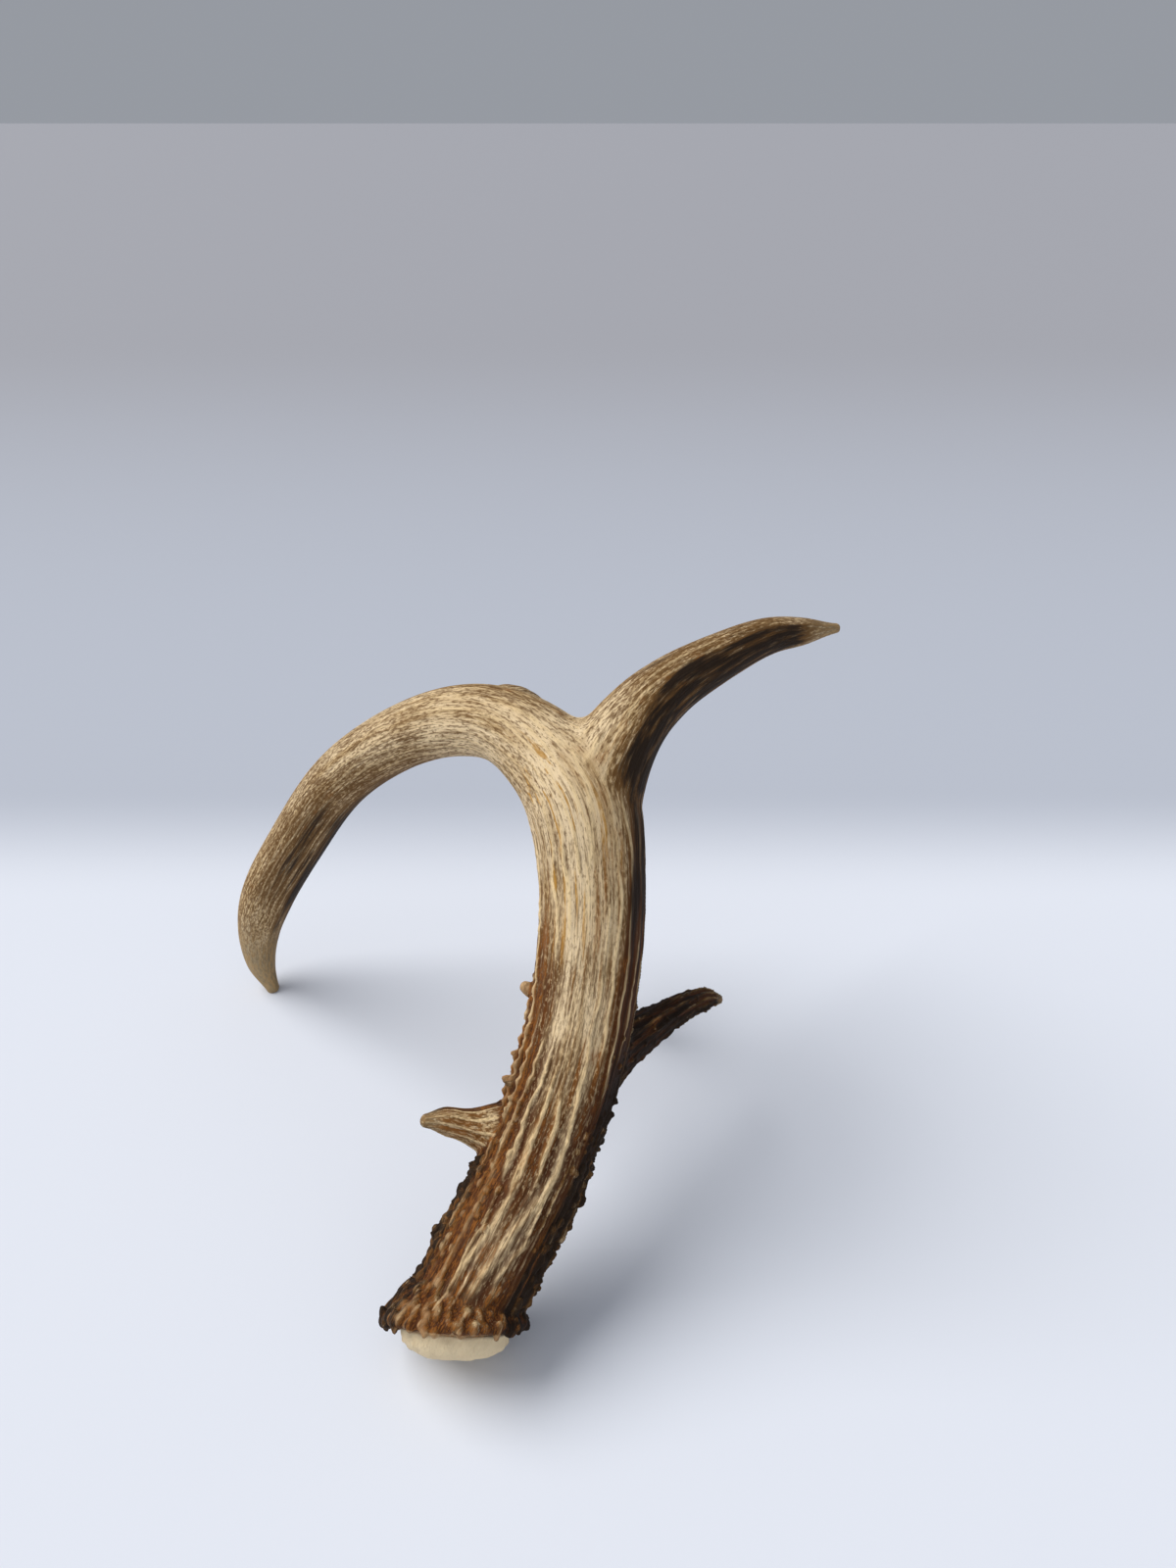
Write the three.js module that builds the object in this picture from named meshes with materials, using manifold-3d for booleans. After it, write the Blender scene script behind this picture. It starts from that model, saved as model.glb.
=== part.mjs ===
// A shed deer antler, resting on three points: the burr, the tip of the main beam and the
// third tine. Millimetres, +Z up, origin on the floor under the burr.
import * as THREE from 'three';
import { mergeVertices } from 'three/addons/utils/BufferGeometryUtils.js';
import Module from 'manifold-3d';

const wasm = await Module();
wasm.setup();

// ---- Driving dimensions -------------------------------------------------------------

// Each limb is a list of stations [x, y, z, girth], where girth is the diameter there.
const MAIN_BEAM = [
  [-0.7, -15.4, 19.9, 36.5],
  [10.1, -2, 35.5, 37.5],
  [24.6, 21, 53, 37.5],
  [35.6, 43, 75, 38],
  [43.1, 65, 103, 38.5],
  [45.1, 83, 136, 39],
  [41, 96, 159.5, 41],
  [27.6, 109.5, 171.5, 34],
  [12.1, 121, 177, 29],
  [-6.4, 131, 174, 27.5],
  [-31.4, 142.5, 160.5, 25.5],
  [-60.4, 157, 133.5, 25],
  [-87.4, 170.5, 92.5, 25],
  [-107.9, 180.5, 55.5, 24],
  [-116.4, 185, 30, 19],
  [-116.9, 183.5, 14, 13.5],
  [-111.9, 179.5, 0.5, 6],
];
const BROW_TINE = [
  [38.6, 45, 71, 25],
  [57.6, 65, 70, 18],
  [71.1, 80, 67.5, 13],
  [81.6, 93, 64, 10.5],
  [91.6, 104.5, 58, 8.2],
  [99.1, 112.5, 51.5, 4],
];
const SECOND_TINE = [
  [44.6, 93, 155, 33],
  [51.6, 103.5, 172.5, 31],
  [61.6, 116.5, 182.8, 26.5],
  [73.6, 129, 188.8, 23],
  [94.1, 147, 193.2, 19],
  [115.1, 164, 195, 15],
  [131.6, 174.5, 193, 11],
  [147.6, 184, 190.5, 4],
];
const THIRD_TINE = [
  [1.6, 130, 174, 22],
  [12.6, 147, 168, 25],
  [20.6, 157, 155.5, 24.5],
  [31.6, 163, 136, 24],
  [40.6, 164, 113.5, 23.5],
  [47.1, 162, 88, 22.5],
  [52.1, 159.5, 60.5, 20.5],
  [56.1, 157, 33.5, 16.5],
  [59.6, 155, 11.5, 11],
  [61.1, 154.5, 0.5, 7],
];
const KICKER_POINT = [
  [20.6, 31, 60, 22],
  [7.6, 28, 63.5, 17],
  [-0.4, 26.5, 67, 11],
  [-7.4, 25.5, 70, 9],
  [-13.9, 24, 71.5, 4.5],
];

const FORK_SHARE = 0.365; // share of the main beam's length below the main fork
const SEAM_GAP = 0.3; // air between two limbs that grew into each other
const TIP_DOME = 0.5; // height of a rounded tip, in tip radii
const FRAME_STEPS = 200; // steps in which a section's turn is carried along a limb
const FLOOR_BLOCK = { width: 600, depth: 60 }; // levels the three resting points

// The burr: a knobbed collar round the foot of the beam, with the smooth convex seal where
// the antler let go of the skull below it. It sits aslant on the beam, round an axis of its
// own, and its heights run along that axis.
const BURR_CENTRE = [-1.5, -16, 19.3];
const BURR_AXIS = [0.055, 0.735, 0.676];
const BURR_RADIUS = 26;
const BURR_KNOBS = 17;
const BURR_KNOB_HEIGHT = 0.9;
const BURR_SEGMENTS = BURR_KNOBS * 4;
const SEAL_RADIUS = 18.5;
const SEAL_TOP = -3;
const SEAL_DEPTH = 9.5;
const SEAL_STEPS = 5;
const COLLAR_PROFILE = [
  [BURR_RADIUS - 4.5, -2.7],
  [BURR_RADIUS - 1, -2],
  [BURR_RADIUS, 0],
  [BURR_RADIUS - 1.4, 2.2],
  [BURR_RADIUS - 4.4, 5.2],
  [BURR_RADIUS - 7.6, 9.5],
];
const COLLAR_TOP = 13;

const FINISH = {
  base: { color: 0x8a5a34, roughness: 0.62, metalness: 0 },
  brow: { color: 0x4a2c1a, roughness: 0.6, metalness: 0 },
  upper: { color: 0xb79c78, roughness: 0.55, metalness: 0 },
  tip: { color: 0xa89674, roughness: 0.5, metalness: 0 },
};

// ---- Solids -------------------------------------------------------------------------

function solid(geometry) {
  const bare = geometry.clone();
  bare.deleteAttribute('normal');
  bare.deleteAttribute('uv');
  const merged = mergeVertices(bare, 1e-4);
  const mesh = new wasm.Mesh({
    numProp: 3,
    vertProperties: new Float32Array(merged.attributes.position.array),
    triVerts: new Uint32Array(merged.index.array),
  });
  return new wasm.Manifold(mesh);
}

function geometryOf(manifold) {
  const { vertProperties, triVerts } = manifold.getMesh();
  const geometry = new THREE.BufferGeometry();
  geometry.setAttribute('position', new THREE.BufferAttribute(vertProperties, 3));
  geometry.setIndex(new THREE.BufferAttribute(triVerts, 1));
  geometry.computeVertexNormals();
  return geometry;
}

// A limb's centre line and its girth along it.
function limb(stations) {
  const points = stations.map(([x, y, z]) => new THREE.Vector3(x, y, z));
  const radii = stations.map((station) => new THREE.Vector2(station[3] / 2, 0));
  return {
    centre: new THREE.CatmullRomCurve3(points, false, 'centripetal'),
    girth: new THREE.SplineCurve(radii),
  };
}

// The solid of a limb between two shares of its length. A sphere's rows become the rings:
// its poles close the ends, flat at a seam and slightly domed at a tip.
function sweep({ centre, girth }, { sides, rings, from = 0, to = 1, grow = 0 }) {
  const geometry = new THREE.SphereGeometry(1, sides, rings + 2);
  const position = geometry.attributes.position;
  const frames = centre.computeFrenetFrames(FRAME_STEPS, false);
  for (let row = 0; row <= rings + 2; row += 1) {
    const ring = THREE.MathUtils.clamp(rings + 1 - row, 0, rings);
    const share = THREE.MathUtils.lerp(from, to, ring / rings);
    const parameter = centre.getUtoTmapping(share);
    const middle = centre.getPoint(parameter);
    const radius = girth.getPoint(parameter).x + grow;
    const frame = Math.round(share * FRAME_STEPS);
    const tangent = centre.getTangentAt(share);
    const across = frames.binormals[frame].clone();
    across.addScaledVector(tangent, -across.dot(tangent)).normalize();
    const up = new THREE.Vector3().crossVectors(across, tangent);
    const pole = row === 0 || row === rings + 2;
    if (row === 0 && to === 1) middle.addScaledVector(tangent, radius * TIP_DOME);
    for (let side = 0; side <= sides; side += 1) {
      const turn = (side / sides) * 2 * Math.PI;
      const vertex = middle.clone();
      if (!pole) {
        vertex.addScaledVector(across, -radius * Math.cos(turn));
        vertex.addScaledVector(up, radius * Math.sin(turn));
      }
      position.setXYZ(row * (sides + 1) + side, vertex.x, vertex.y, vertex.z);
    }
  }
  return solid(geometry);
}

// The collar and the seal in one turned shape, with the collar's rim pushed out into knobs.
function burr() {
  const profile = [];
  for (let step = 0; step <= SEAL_STEPS; step += 1) {
    const angle = (step / SEAL_STEPS) * (Math.PI / 2);
    const height = SEAL_TOP - SEAL_DEPTH * Math.cos(angle);
    profile.push(new THREE.Vector2(SEAL_RADIUS * Math.sin(angle), height));
  }
  for (const [radius, height] of COLLAR_PROFILE) profile.push(new THREE.Vector2(radius, height));
  profile.push(new THREE.Vector2(0, COLLAR_TOP));
  const geometry = new THREE.LatheGeometry(profile, BURR_SEGMENTS);
  const position = geometry.attributes.position;
  for (let index = 0; index < position.count; index += 1) {
    const vertex = new THREE.Vector3().fromBufferAttribute(position, index);
    const radius = Math.hypot(vertex.x, vertex.z);
    if (radius > SEAL_RADIUS + 1) {
      const turn = Math.atan2(vertex.z, vertex.x);
      const push = 1 + (BURR_KNOB_HEIGHT * Math.cos(BURR_KNOBS * turn)) / radius;
      position.setXYZ(index, vertex.x * push, vertex.y, vertex.z * push);
    }
  }
  const axis = new THREE.Vector3(...BURR_AXIS).normalize();
  const turned = new THREE.Quaternion().setFromUnitVectors(new THREE.Vector3(0, 1, 0), axis);
  geometry.applyQuaternion(turned);
  geometry.translate(...BURR_CENTRE);
  return solid(geometry);
}

// Everything under the floor, to level what rests on it.
function underFloor() {
  const { width, depth } = FLOOR_BLOCK;
  const block = new THREE.BoxGeometry(width, width, depth);
  block.translate(0, 0, -depth / 2);
  return solid(block);
}

function piece(name, manifold, finish) {
  const mesh = new THREE.Mesh(geometryOf(manifold), new THREE.MeshStandardMaterial(finish));
  mesh.name = name;
  return mesh;
}

// ---- The antler ---------------------------------------------------------------------

const beam = limb(MAIN_BEAM);
const gapShare = SEAM_GAP / beam.centre.getLength();
const lowerSpan = { sides: 24, rings: 30, from: 0, to: FORK_SHARE };
const upperSpan = { sides: 22, rings: 48, from: FORK_SHARE + gapShare, to: 1 };
const floor = underFloor();

// What a tine's root has to stay clear of.
const lowerClear = sweep(beam, { ...lowerSpan, grow: SEAM_GAP, to: FORK_SHARE + gapShare });
const upperClear = sweep(beam, { ...upperSpan, grow: SEAM_GAP, from: FORK_SHARE });

const kicker = sweep(limb(KICKER_POINT), { sides: 12, rings: 12 });
const lowerBeam = sweep(beam, lowerSpan).add(burr()).add(kicker).subtract(floor);
const beamEnd = sweep(beam, upperSpan).subtract(floor);
const browTine = sweep(limb(BROW_TINE), { sides: 14, rings: 22 }).subtract(lowerClear);
const secondTine = sweep(limb(SECOND_TINE), { sides: 18, rings: 30 })
  .subtract(lowerClear)
  .subtract(upperClear);
const thirdTine = sweep(limb(THIRD_TINE), { sides: 18, rings: 38 })
  .subtract(upperClear)
  .subtract(floor);

const antler = new THREE.Group();
antler.add(piece('lower_beam', lowerBeam, FINISH.base));
antler.add(piece('brow_tine', browTine, FINISH.brow));
antler.add(piece('second_tine', secondTine, FINISH.upper));
antler.add(piece('beam_end', beamEnd, FINISH.upper));
antler.add(piece('third_tine', thirdTine, FINISH.tip));

export default antler;
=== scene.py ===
"""A shed deer antler on a pale studio floor, laid out as an add-on and run as a script.

One skin is grown over the whole antler: the limbs are swept and fused, the burr gets its knobs
and the base its pearls, and ridges are raised along the grain. The skin is then parted at the
main forks into five closed pieces, which stand for the five solids of the frame.
"""
import math
from typing import NamedTuple

import bpy
import numpy as np
from bpy.props import FloatProperty, FloatVectorProperty, IntProperty, PointerProperty
from mathutils import Matrix, Vector, noise


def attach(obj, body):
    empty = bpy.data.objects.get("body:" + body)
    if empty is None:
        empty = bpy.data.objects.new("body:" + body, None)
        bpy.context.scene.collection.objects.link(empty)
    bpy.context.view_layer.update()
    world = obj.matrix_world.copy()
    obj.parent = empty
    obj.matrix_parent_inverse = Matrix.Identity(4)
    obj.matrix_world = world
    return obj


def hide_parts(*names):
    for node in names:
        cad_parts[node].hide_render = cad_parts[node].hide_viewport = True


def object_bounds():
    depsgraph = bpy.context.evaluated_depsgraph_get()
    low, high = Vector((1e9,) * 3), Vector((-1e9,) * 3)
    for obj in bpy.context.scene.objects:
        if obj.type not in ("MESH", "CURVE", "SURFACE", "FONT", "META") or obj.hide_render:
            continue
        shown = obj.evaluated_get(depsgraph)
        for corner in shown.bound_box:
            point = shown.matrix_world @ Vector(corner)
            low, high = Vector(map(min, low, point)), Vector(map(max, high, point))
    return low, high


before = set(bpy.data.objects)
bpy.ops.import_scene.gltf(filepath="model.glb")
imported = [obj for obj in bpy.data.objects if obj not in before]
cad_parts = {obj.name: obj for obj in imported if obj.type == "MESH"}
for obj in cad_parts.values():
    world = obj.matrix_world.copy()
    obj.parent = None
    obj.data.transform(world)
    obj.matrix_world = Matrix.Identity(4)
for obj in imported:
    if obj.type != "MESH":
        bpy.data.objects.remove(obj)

bl_info = {
    "name": "Deer Antler",
    "version": (1, 0, 0),
    "blender": (4, 5, 0),
    "location": "3D View > Sidebar > Antler",
    "description": "Grows a shed deer antler with its burr, pearls, ridges and tines",
    "category": "Object",
}

CAD_BOX = [list(corner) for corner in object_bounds()]
MM = 0.001
BOX_MARGIN = 0.02 * MM  # how far the skin stays inside the solids' box

# ---- Limbs: stations [x, y, z, girth] along each centre line, in metres --------------------

MAIN_BEAM = [
    (-0.0007, -0.0154, 0.0199, 0.0365),
    (0.0101, -0.002, 0.0355, 0.0375),
    (0.0246, 0.021, 0.053, 0.0375),
    (0.0356, 0.043, 0.075, 0.038),
    (0.0431, 0.065, 0.103, 0.0385),
    (0.0451, 0.083, 0.136, 0.039),
    (0.041, 0.096, 0.1595, 0.041),
    (0.0276, 0.1095, 0.1715, 0.034),
    (0.0121, 0.121, 0.177, 0.029),
    (-0.0064, 0.131, 0.174, 0.0275),
    (-0.0314, 0.1425, 0.1605, 0.0255),
    (-0.0604, 0.157, 0.1335, 0.025),
    (-0.0874, 0.1705, 0.0925, 0.025),
    (-0.1079, 0.1805, 0.0555, 0.024),
    (-0.1164, 0.185, 0.03, 0.019),
    (-0.1169, 0.1835, 0.014, 0.0135),
    (-0.1119, 0.1795, 0.0005, 0.006),
]
BROW_TINE = [
    (0.0386, 0.045, 0.071, 0.025),
    (0.0576, 0.065, 0.07, 0.018),
    (0.0711, 0.08, 0.0675, 0.013),
    (0.0816, 0.093, 0.064, 0.0105),
    (0.0916, 0.1045, 0.058, 0.0082),
    (0.0991, 0.1125, 0.0515, 0.004),
]
SECOND_TINE = [
    (0.0446, 0.093, 0.155, 0.033),
    (0.0516, 0.1035, 0.1725, 0.031),
    (0.0616, 0.1165, 0.1828, 0.0265),
    (0.0736, 0.129, 0.1888, 0.023),
    (0.0941, 0.147, 0.1932, 0.019),
    (0.1151, 0.164, 0.195, 0.015),
    (0.1316, 0.1745, 0.193, 0.011),
    (0.1476, 0.184, 0.1905, 0.004),
]
THIRD_TINE = [
    (0.0016, 0.13, 0.174, 0.022),
    (0.0126, 0.147, 0.168, 0.025),
    (0.0206, 0.157, 0.1555, 0.0245),
    (0.0316, 0.163, 0.136, 0.024),
    (0.0406, 0.164, 0.1135, 0.0235),
    (0.0471, 0.162, 0.088, 0.0225),
    (0.0521, 0.1595, 0.0605, 0.0205),
    (0.0561, 0.157, 0.0335, 0.0165),
    (0.0596, 0.155, 0.0115, 0.011),
    (0.0611, 0.1545, 0.0005, 0.007),
]
KICKER_POINT = [
    (0.0206, 0.031, 0.06, 0.022),
    (0.0076, 0.028, 0.0635, 0.017),
    (-0.0004, 0.0265, 0.067, 0.011),
    (-0.0074, 0.0255, 0.07, 0.009),
    (-0.0139, 0.024, 0.0715, 0.0045),
]
FORK_SHARE = 0.365  # share of the main beam's length below the main fork
TIP_DOME = 0.5  # height of a rounded tip, in tip radii
DOME_TURNS = (20, 40, 58, 74, 86)  # degrees round a tip's dome at which it gets a ring
SAMPLE_STEP = 1.0 * MM  # spacing of a limb's sections
SPAN_STEPS = 40  # steps from one station to the next
NEAR_CHUNK = 20000  # points that are looked up at once
LEAST_WEB = 0.01 * MM

# The seal and the collar of the burr, turned round an axis that is aslant to the main beam:
# (height along the axis from the centre, radius), in millimetres.
BURR_CENTRE = np.array((-0.0015, -0.016, 0.0193))
BURR_AXIS = np.array((0.055, 0.735, 0.676)) / math.hypot(0.055, 0.735, 0.676)
SEAL_RADIUS = 18.5 * MM
SEAL_TOP = -2.9 * MM
SEAL_DEPTH = 9.5 * MM
SEAL_POWER = 2.7  # 2 is a ball's curve, more is flatter with rounder shoulders
SEAL_RINGS = 12
SEAL_EYE = 0.02  # where the seal's first ring is, 0 at its middle and 1 at its rim
FOOT_REACH = 40 * MM  # radius round the burr's axis in which a point can be the burr's
COLLAR_SLANT = 0.87  # height over the collar's slanting side as a share of that along a radius
COLLAR = [
    (-2.4, 21.4),
    (-1.7, 24.3),
    (0.2, 24.9),
    (2.4, 23.4),
    (5.2, 20.9),
    (8.7, 18.9),
    (10.6, 17.2),
    (12.2, 13.5),
    (13.2, 8.0),
]

# Single ridges: (half width, height, bareness, points). Three part at the main fork, where the
# grain divides, and the others run up the base from the burr.
RIDGES = [
    (1.1 * MM, 0.35 * MM, 0.9, [
        (0.0422, 0.0535, 0.1212), (0.0439, 0.0622, 0.1381), (0.0446, 0.0703, 0.1553),
        (0.0443, 0.0775, 0.1689), (0.0415, 0.0868, 0.1786)]),
    (1.1 * MM, 0.35 * MM, 0.9, [
        (0.0415, 0.0868, 0.1786), (0.0374, 0.0911, 0.1817), (0.0317, 0.0976, 0.185),
        (0.0242, 0.1045, 0.1878), (0.0158, 0.1109, 0.1897), (0.0068, 0.1173, 0.1902)]),
    (1.0 * MM, 0.3 * MM, 0.8, [
        (0.0415, 0.0868, 0.1786), (0.045, 0.0924, 0.1818), (0.0478, 0.0972, 0.1864)]),
    (1.5 * MM, 1.0 * MM, 0.75, [
        (0.0023, -0.0246, 0.0378), (0.0052, -0.0216, 0.0417), (0.0099, -0.0177, 0.0463),
        (0.0137, -0.0137, 0.05), (0.0187, -0.0087, 0.0535), (0.0238, -0.0035, 0.0564),
        (0.029, 0.0024, 0.0597), (0.0329, 0.0074, 0.063), (0.0358, 0.0168, 0.0732)]),
    (0.95 * MM, 1.0 * MM, 0.65, [
        (-0.0049, -0.0243, 0.0359), (-0.0027, -0.0219, 0.0391), (0.0023, -0.0162, 0.0464),
        (0.0077, -0.0113, 0.0519), (0.0134, -0.0062, 0.0562), (0.0184, 0.0033, 0.0628),
        (0.0222, 0.0108, 0.0687), (0.0264, 0.02, 0.0773)]),
    (0.8 * MM, 1.0 * MM, 0.5, [
        (-0.0113, -0.0204, 0.0341), (-0.0068, -0.0167, 0.0402), (-0.0026, -0.013, 0.0458),
        (0.0021, -0.0067, 0.0521), (0.0071, 0.0, 0.0576), (0.011, 0.0088, 0.0629),
        (0.0137, 0.0179, 0.0683)]),
    (0.8 * MM, 0.8 * MM, 0.5, [
        (0.0103, -0.0234, 0.0382), (0.0144, -0.0185, 0.0439), (0.0195, -0.0132, 0.048),
        (0.0255, -0.0076, 0.0502)]),
]
RIDGE_STEPS = 24
RIDGE_FADE = 0.16  # share of a ridge's length over which it fades at each end
RIDGE_WANDER = 1.0 * MM
LETTING_DOWN = 3  # rounds in which a ridge's line is let down onto the skin

# Single knobs on the lower beam: (x, y, z, radius).
LONE_KNOBS = [
    (0.0223, 0.0614, 0.0993, 0.0028),
    (0.0208, 0.0616, 0.1003, 0.0022),
    (0.0401, 0.0119, 0.0455, 0.0021),
    (-0.0087, 0.0022, 0.0416, 0.0019),
]


# ---- Settings ------------------------------------------------------------------------------

def metres(name, description, default, **limits):
    return FloatProperty(
        name=name, description=description, default=default, unit="LENGTH", precision=5, **limits,
    )


def swatch(name, description, default):
    return FloatVectorProperty(
        name=name, description=description, subtype="COLOR", default=default, min=0, max=1,
    )


class AntlerForm(bpy.types.PropertyGroup):
    """Sizes of the antler's relief"""

    voxel: metres("Skin step", "Spacing of the points of the finished skin",
                  0.65 * MM, min=0.3 * MM, max=3 * MM)
    crest_height: metres("Crest height", "Height of the wavy crests at the base", 1.7 * MM)
    rib_height: metres("Rib height", "Height of the finer ribs between the crests", 0.42 * MM)
    flute_depth: metres("Flute depth", "Depth of the broad hollows along the limbs", 0.55 * MM)
    pearl_size: metres("Pearl size", "Radius of the largest pearls of the base", 1.7 * MM)
    finger_size: metres("Finger size", "Half width of the finger-like knobs over the burr",
                        1.75 * MM)
    finger_spacing: metres("Finger spacing", "Least distance between two of the burr's fingers",
                           4.0 * MM)
    pearl_spacing: metres("Pearl spacing", "Least distance between two pearls", 2.3 * MM)
    rim_knobs: IntProperty(
        name="Rim knobs", description="Knobs round the rim of the burr", default=29, min=3,
    )
    seed: IntProperty(name="Seed", description="Picks another growth of the same form", default=4)


class AntlerColours(bpy.types.PropertyGroup):
    """Colours of the bone, from bleached to deeply stained; the darkest one also paints shade"""

    bleached: swatch("Bleached", "Palest bone of the upper antler", (0.80, 0.62, 0.385))
    tan: swatch("Tan", "Weathered bone between the streaks", (0.44, 0.29, 0.135))
    brown: swatch("Brown", "Streaks along the grain", (0.12, 0.053, 0.012))
    cream: swatch("Cream", "Crests worn bare", (0.80, 0.60, 0.33))
    rust: swatch("Rust", "Stained bone on the lit side of the base", (0.27, 0.076, 0.009))
    ochre: swatch("Ochre", "Flecks in the grooves of the base", (0.32, 0.115, 0.02))
    mahogany: swatch("Mahogany", "Grooves of the base", (0.070, 0.019, 0.004))
    # The darkest brown paints the deepest stain together with painted shade on the sides turned
    # away from the key light.
    umber_stain_and_shade: swatch("Umber", "Deepest stain, on the sheltered sides", (0.016, 0.009, 0.005))
    amber: swatch("Amber", "Thin amber streaks near the fork", (0.50, 0.26, 0.055))
    seal: swatch("Seal", "Clean bone under the burr", (0.82, 0.66, 0.42))
    tip: swatch("Tip", "Bone polished at the tips", (0.26, 0.195, 0.11))


class AntlerStudio(bpy.types.PropertyGroup):
    """Floor, light and camera"""

    floor: swatch("Floor", "Paper under the antler", (0.72, 0.75, 0.82))
    # The far paper colours are painted shade, standing for a backdrop that gets less light.
    far_floor_painted_shade: swatch("Far floor", "Paper far behind the antler", (0.46, 0.49, 0.56))
    end_floor_painted_shade: swatch("End of the floor", "Paper at the horizon", (0.35, 0.355, 0.39))
    key_strength: FloatProperty(
        name="Key light", description="Strength of the soft key light", default=2.7,
    )
    fill_strength: FloatProperty(
        name="Fill light", description="Strength of the very soft light from the front",
        default=0.48,
    )
    key_softness: FloatProperty(
        name="Softness", description="Angle that the key light fills, as seen from the antler",
        default=math.radians(46), subtype="ANGLE",
    )
    sky_strength: FloatProperty(
        name="Sky", description="Strength of the even light from all round", default=0.36,
    )
    lens: FloatProperty(
        name="Lens", description="Focal length in millimetres", default=27.045,
    )


SETTINGS = {
    "antler_form": AntlerForm, "antler_colours": AntlerColours, "antler_studio": AntlerStudio,
}


# ---- Small tools ---------------------------------------------------------------------------

def node(tree, kind, inputs=None, **settings):
    """Adds a node; inputs maps a socket's name or number to a value or another socket."""
    made = tree.nodes.new(kind)
    for name, value in settings.items():
        setattr(made, name, value)
    for name, value in (inputs or {}).items():
        if isinstance(value, bpy.types.NodeSocket):
            tree.links.new(value, made.inputs[name])
        else:
            made.inputs[name].default_value = value
    return made


def maths(tree, operation, *values):
    inputs = dict(enumerate(values))
    kind = "ShaderNodeMath"
    return node(tree, kind, inputs, operation=operation).outputs[0]


def ramp(tree, value, low, high, to_low=0.0, to_high=1.0):
    """A smooth step of value from low to high."""
    inputs = {0: value, 1: low, 2: high, 3: to_low, 4: to_high}
    return node(tree, "ShaderNodeMapRange", inputs, interpolation_type="SMOOTHSTEP").outputs[0]


def tint(tree, share, first, second, blend_type="MIX"):
    inputs = {0: share, 6: first, 7: second}
    made = node(tree, "ShaderNodeMix", inputs, data_type="RGBA", blend_type=blend_type)
    return made.outputs[2]


def paint(colour):
    return (*colour, 1.0)


def new_group(name, kind, inputs, outputs):
    """A node group; inputs maps names to a type and a default, outputs maps them to a type."""
    tree = bpy.data.node_groups.new(name, kind)

    def add(label, way, socket_type):
        return tree.interface.new_socket(label, in_out=way, socket_type="NodeSocket" + socket_type)

    for label, (socket_type, default) in inputs.items():
        socket = add(label, "INPUT", socket_type)
        if default is not None:
            socket.default_value = default
    for label, socket_type in outputs.items():
        add(label, "OUTPUT", socket_type)
    return tree, tree.nodes.new("NodeGroupInput"), tree.nodes.new("NodeGroupOutput")


def shape_group(name, inputs):
    """A Geometry Nodes tree that gives a geometry."""
    return new_group(name, "GeometryNodeTree", inputs, {"Geometry": "Geometry"})


def close_tree(tree, geometry, bone, end):
    """Ends a Geometry Nodes tree: instances made real, then the material."""
    real = node(tree, "GeometryNodeRealizeInstances", {0: geometry}).outputs[0]
    inputs = {"Geometry": real, "Material": bone}
    coated = node(tree, "GeometryNodeSetMaterial", inputs).outputs[0]
    tree.links.new(coated, end.inputs[0])


def new_mesh(name, points, faces=(), edges=()):
    mesh = bpy.data.meshes.new(name)
    mesh.from_pydata(points, edges, faces)
    mesh.update()
    return mesh


def new_object(name, mesh):
    made = bpy.data.objects.new(name, mesh)
    bpy.context.scene.collection.objects.link(made)
    return made


def write_values(mesh, name, values):
    """Stores a number or a vector for each point."""
    vector = values.ndim == 2
    kind = "FLOAT_VECTOR" if vector else "FLOAT"
    layer = mesh.attributes.get(name) or mesh.attributes.new(name, kind, "POINT")
    layer.data.foreach_set("vector" if vector else "value", values.astype(np.float32).ravel())


def read_values(mesh, name):
    layer = mesh.attributes[name]
    if layer.data_type == "FLOAT":
        values = np.empty(len(mesh.vertices), np.float32)
        layer.data.foreach_get("value", values)
    else:
        values = np.empty((len(mesh.vertices), 3), np.float32)
        layer.data.foreach_get("vector", values.ravel())
    return values


def read_points(mesh):
    flat = np.empty(len(mesh.vertices) * 3, np.float32)
    mesh.vertices.foreach_get("co", flat)
    return flat.reshape(-1, 3).astype(float)


def write_points(mesh, points):
    mesh.vertices.foreach_set("co", points.astype(np.float32).ravel())
    mesh.update()


def read_faces(mesh):
    """The faces as rows of four corners; a triangle's last corner is -1."""
    sizes = np.empty(len(mesh.polygons), np.int32)
    mesh.polygons.foreach_get("loop_total", sizes)
    corners = np.empty(len(mesh.loops), np.int32)
    mesh.loops.foreach_get("vertex_index", corners)
    faces = np.full((len(sizes), 4), -1, np.int32)
    row = np.repeat(np.arange(len(sizes)), sizes)
    starts = np.cumsum(sizes) - sizes
    faces[row, np.arange(len(corners)) - np.repeat(starts, sizes)] = corners
    return faces


def grown(host, tree, inputs):
    """Runs a Geometry Nodes tree on an object and returns the result as a plain mesh."""
    modifier = host.modifiers.new(tree.name, "NODES")
    modifier.node_group = tree
    for name, value in inputs.items():
        modifier[tree.interface.items_tree[name].identifier] = value
    return settled(host, modifier)


def grown_from(mesh, tree, inputs):
    """Runs a Geometry Nodes tree on a mesh."""
    host = new_object(mesh.name, mesh)
    result = grown(host, tree, inputs)
    bpy.data.objects.remove(host)
    return result


def settled(host, modifier):
    """The mesh with its one modifier applied; the modifier is removed."""
    shape = host.evaluated_get(bpy.context.evaluated_depsgraph_get())
    mesh = bpy.data.meshes.new_from_object(shape)
    host.modifiers.remove(modifier)
    return mesh


def joined(meshes):
    """One mesh of several, points and faces only."""
    points = []
    faces = []
    count = 0
    for mesh in meshes:
        points += read_points(mesh).tolist()
        faces += [[corner + count for corner in face.vertices] for face in mesh.polygons]
        count = len(points)
    return new_mesh("joined", points, faces)


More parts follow.
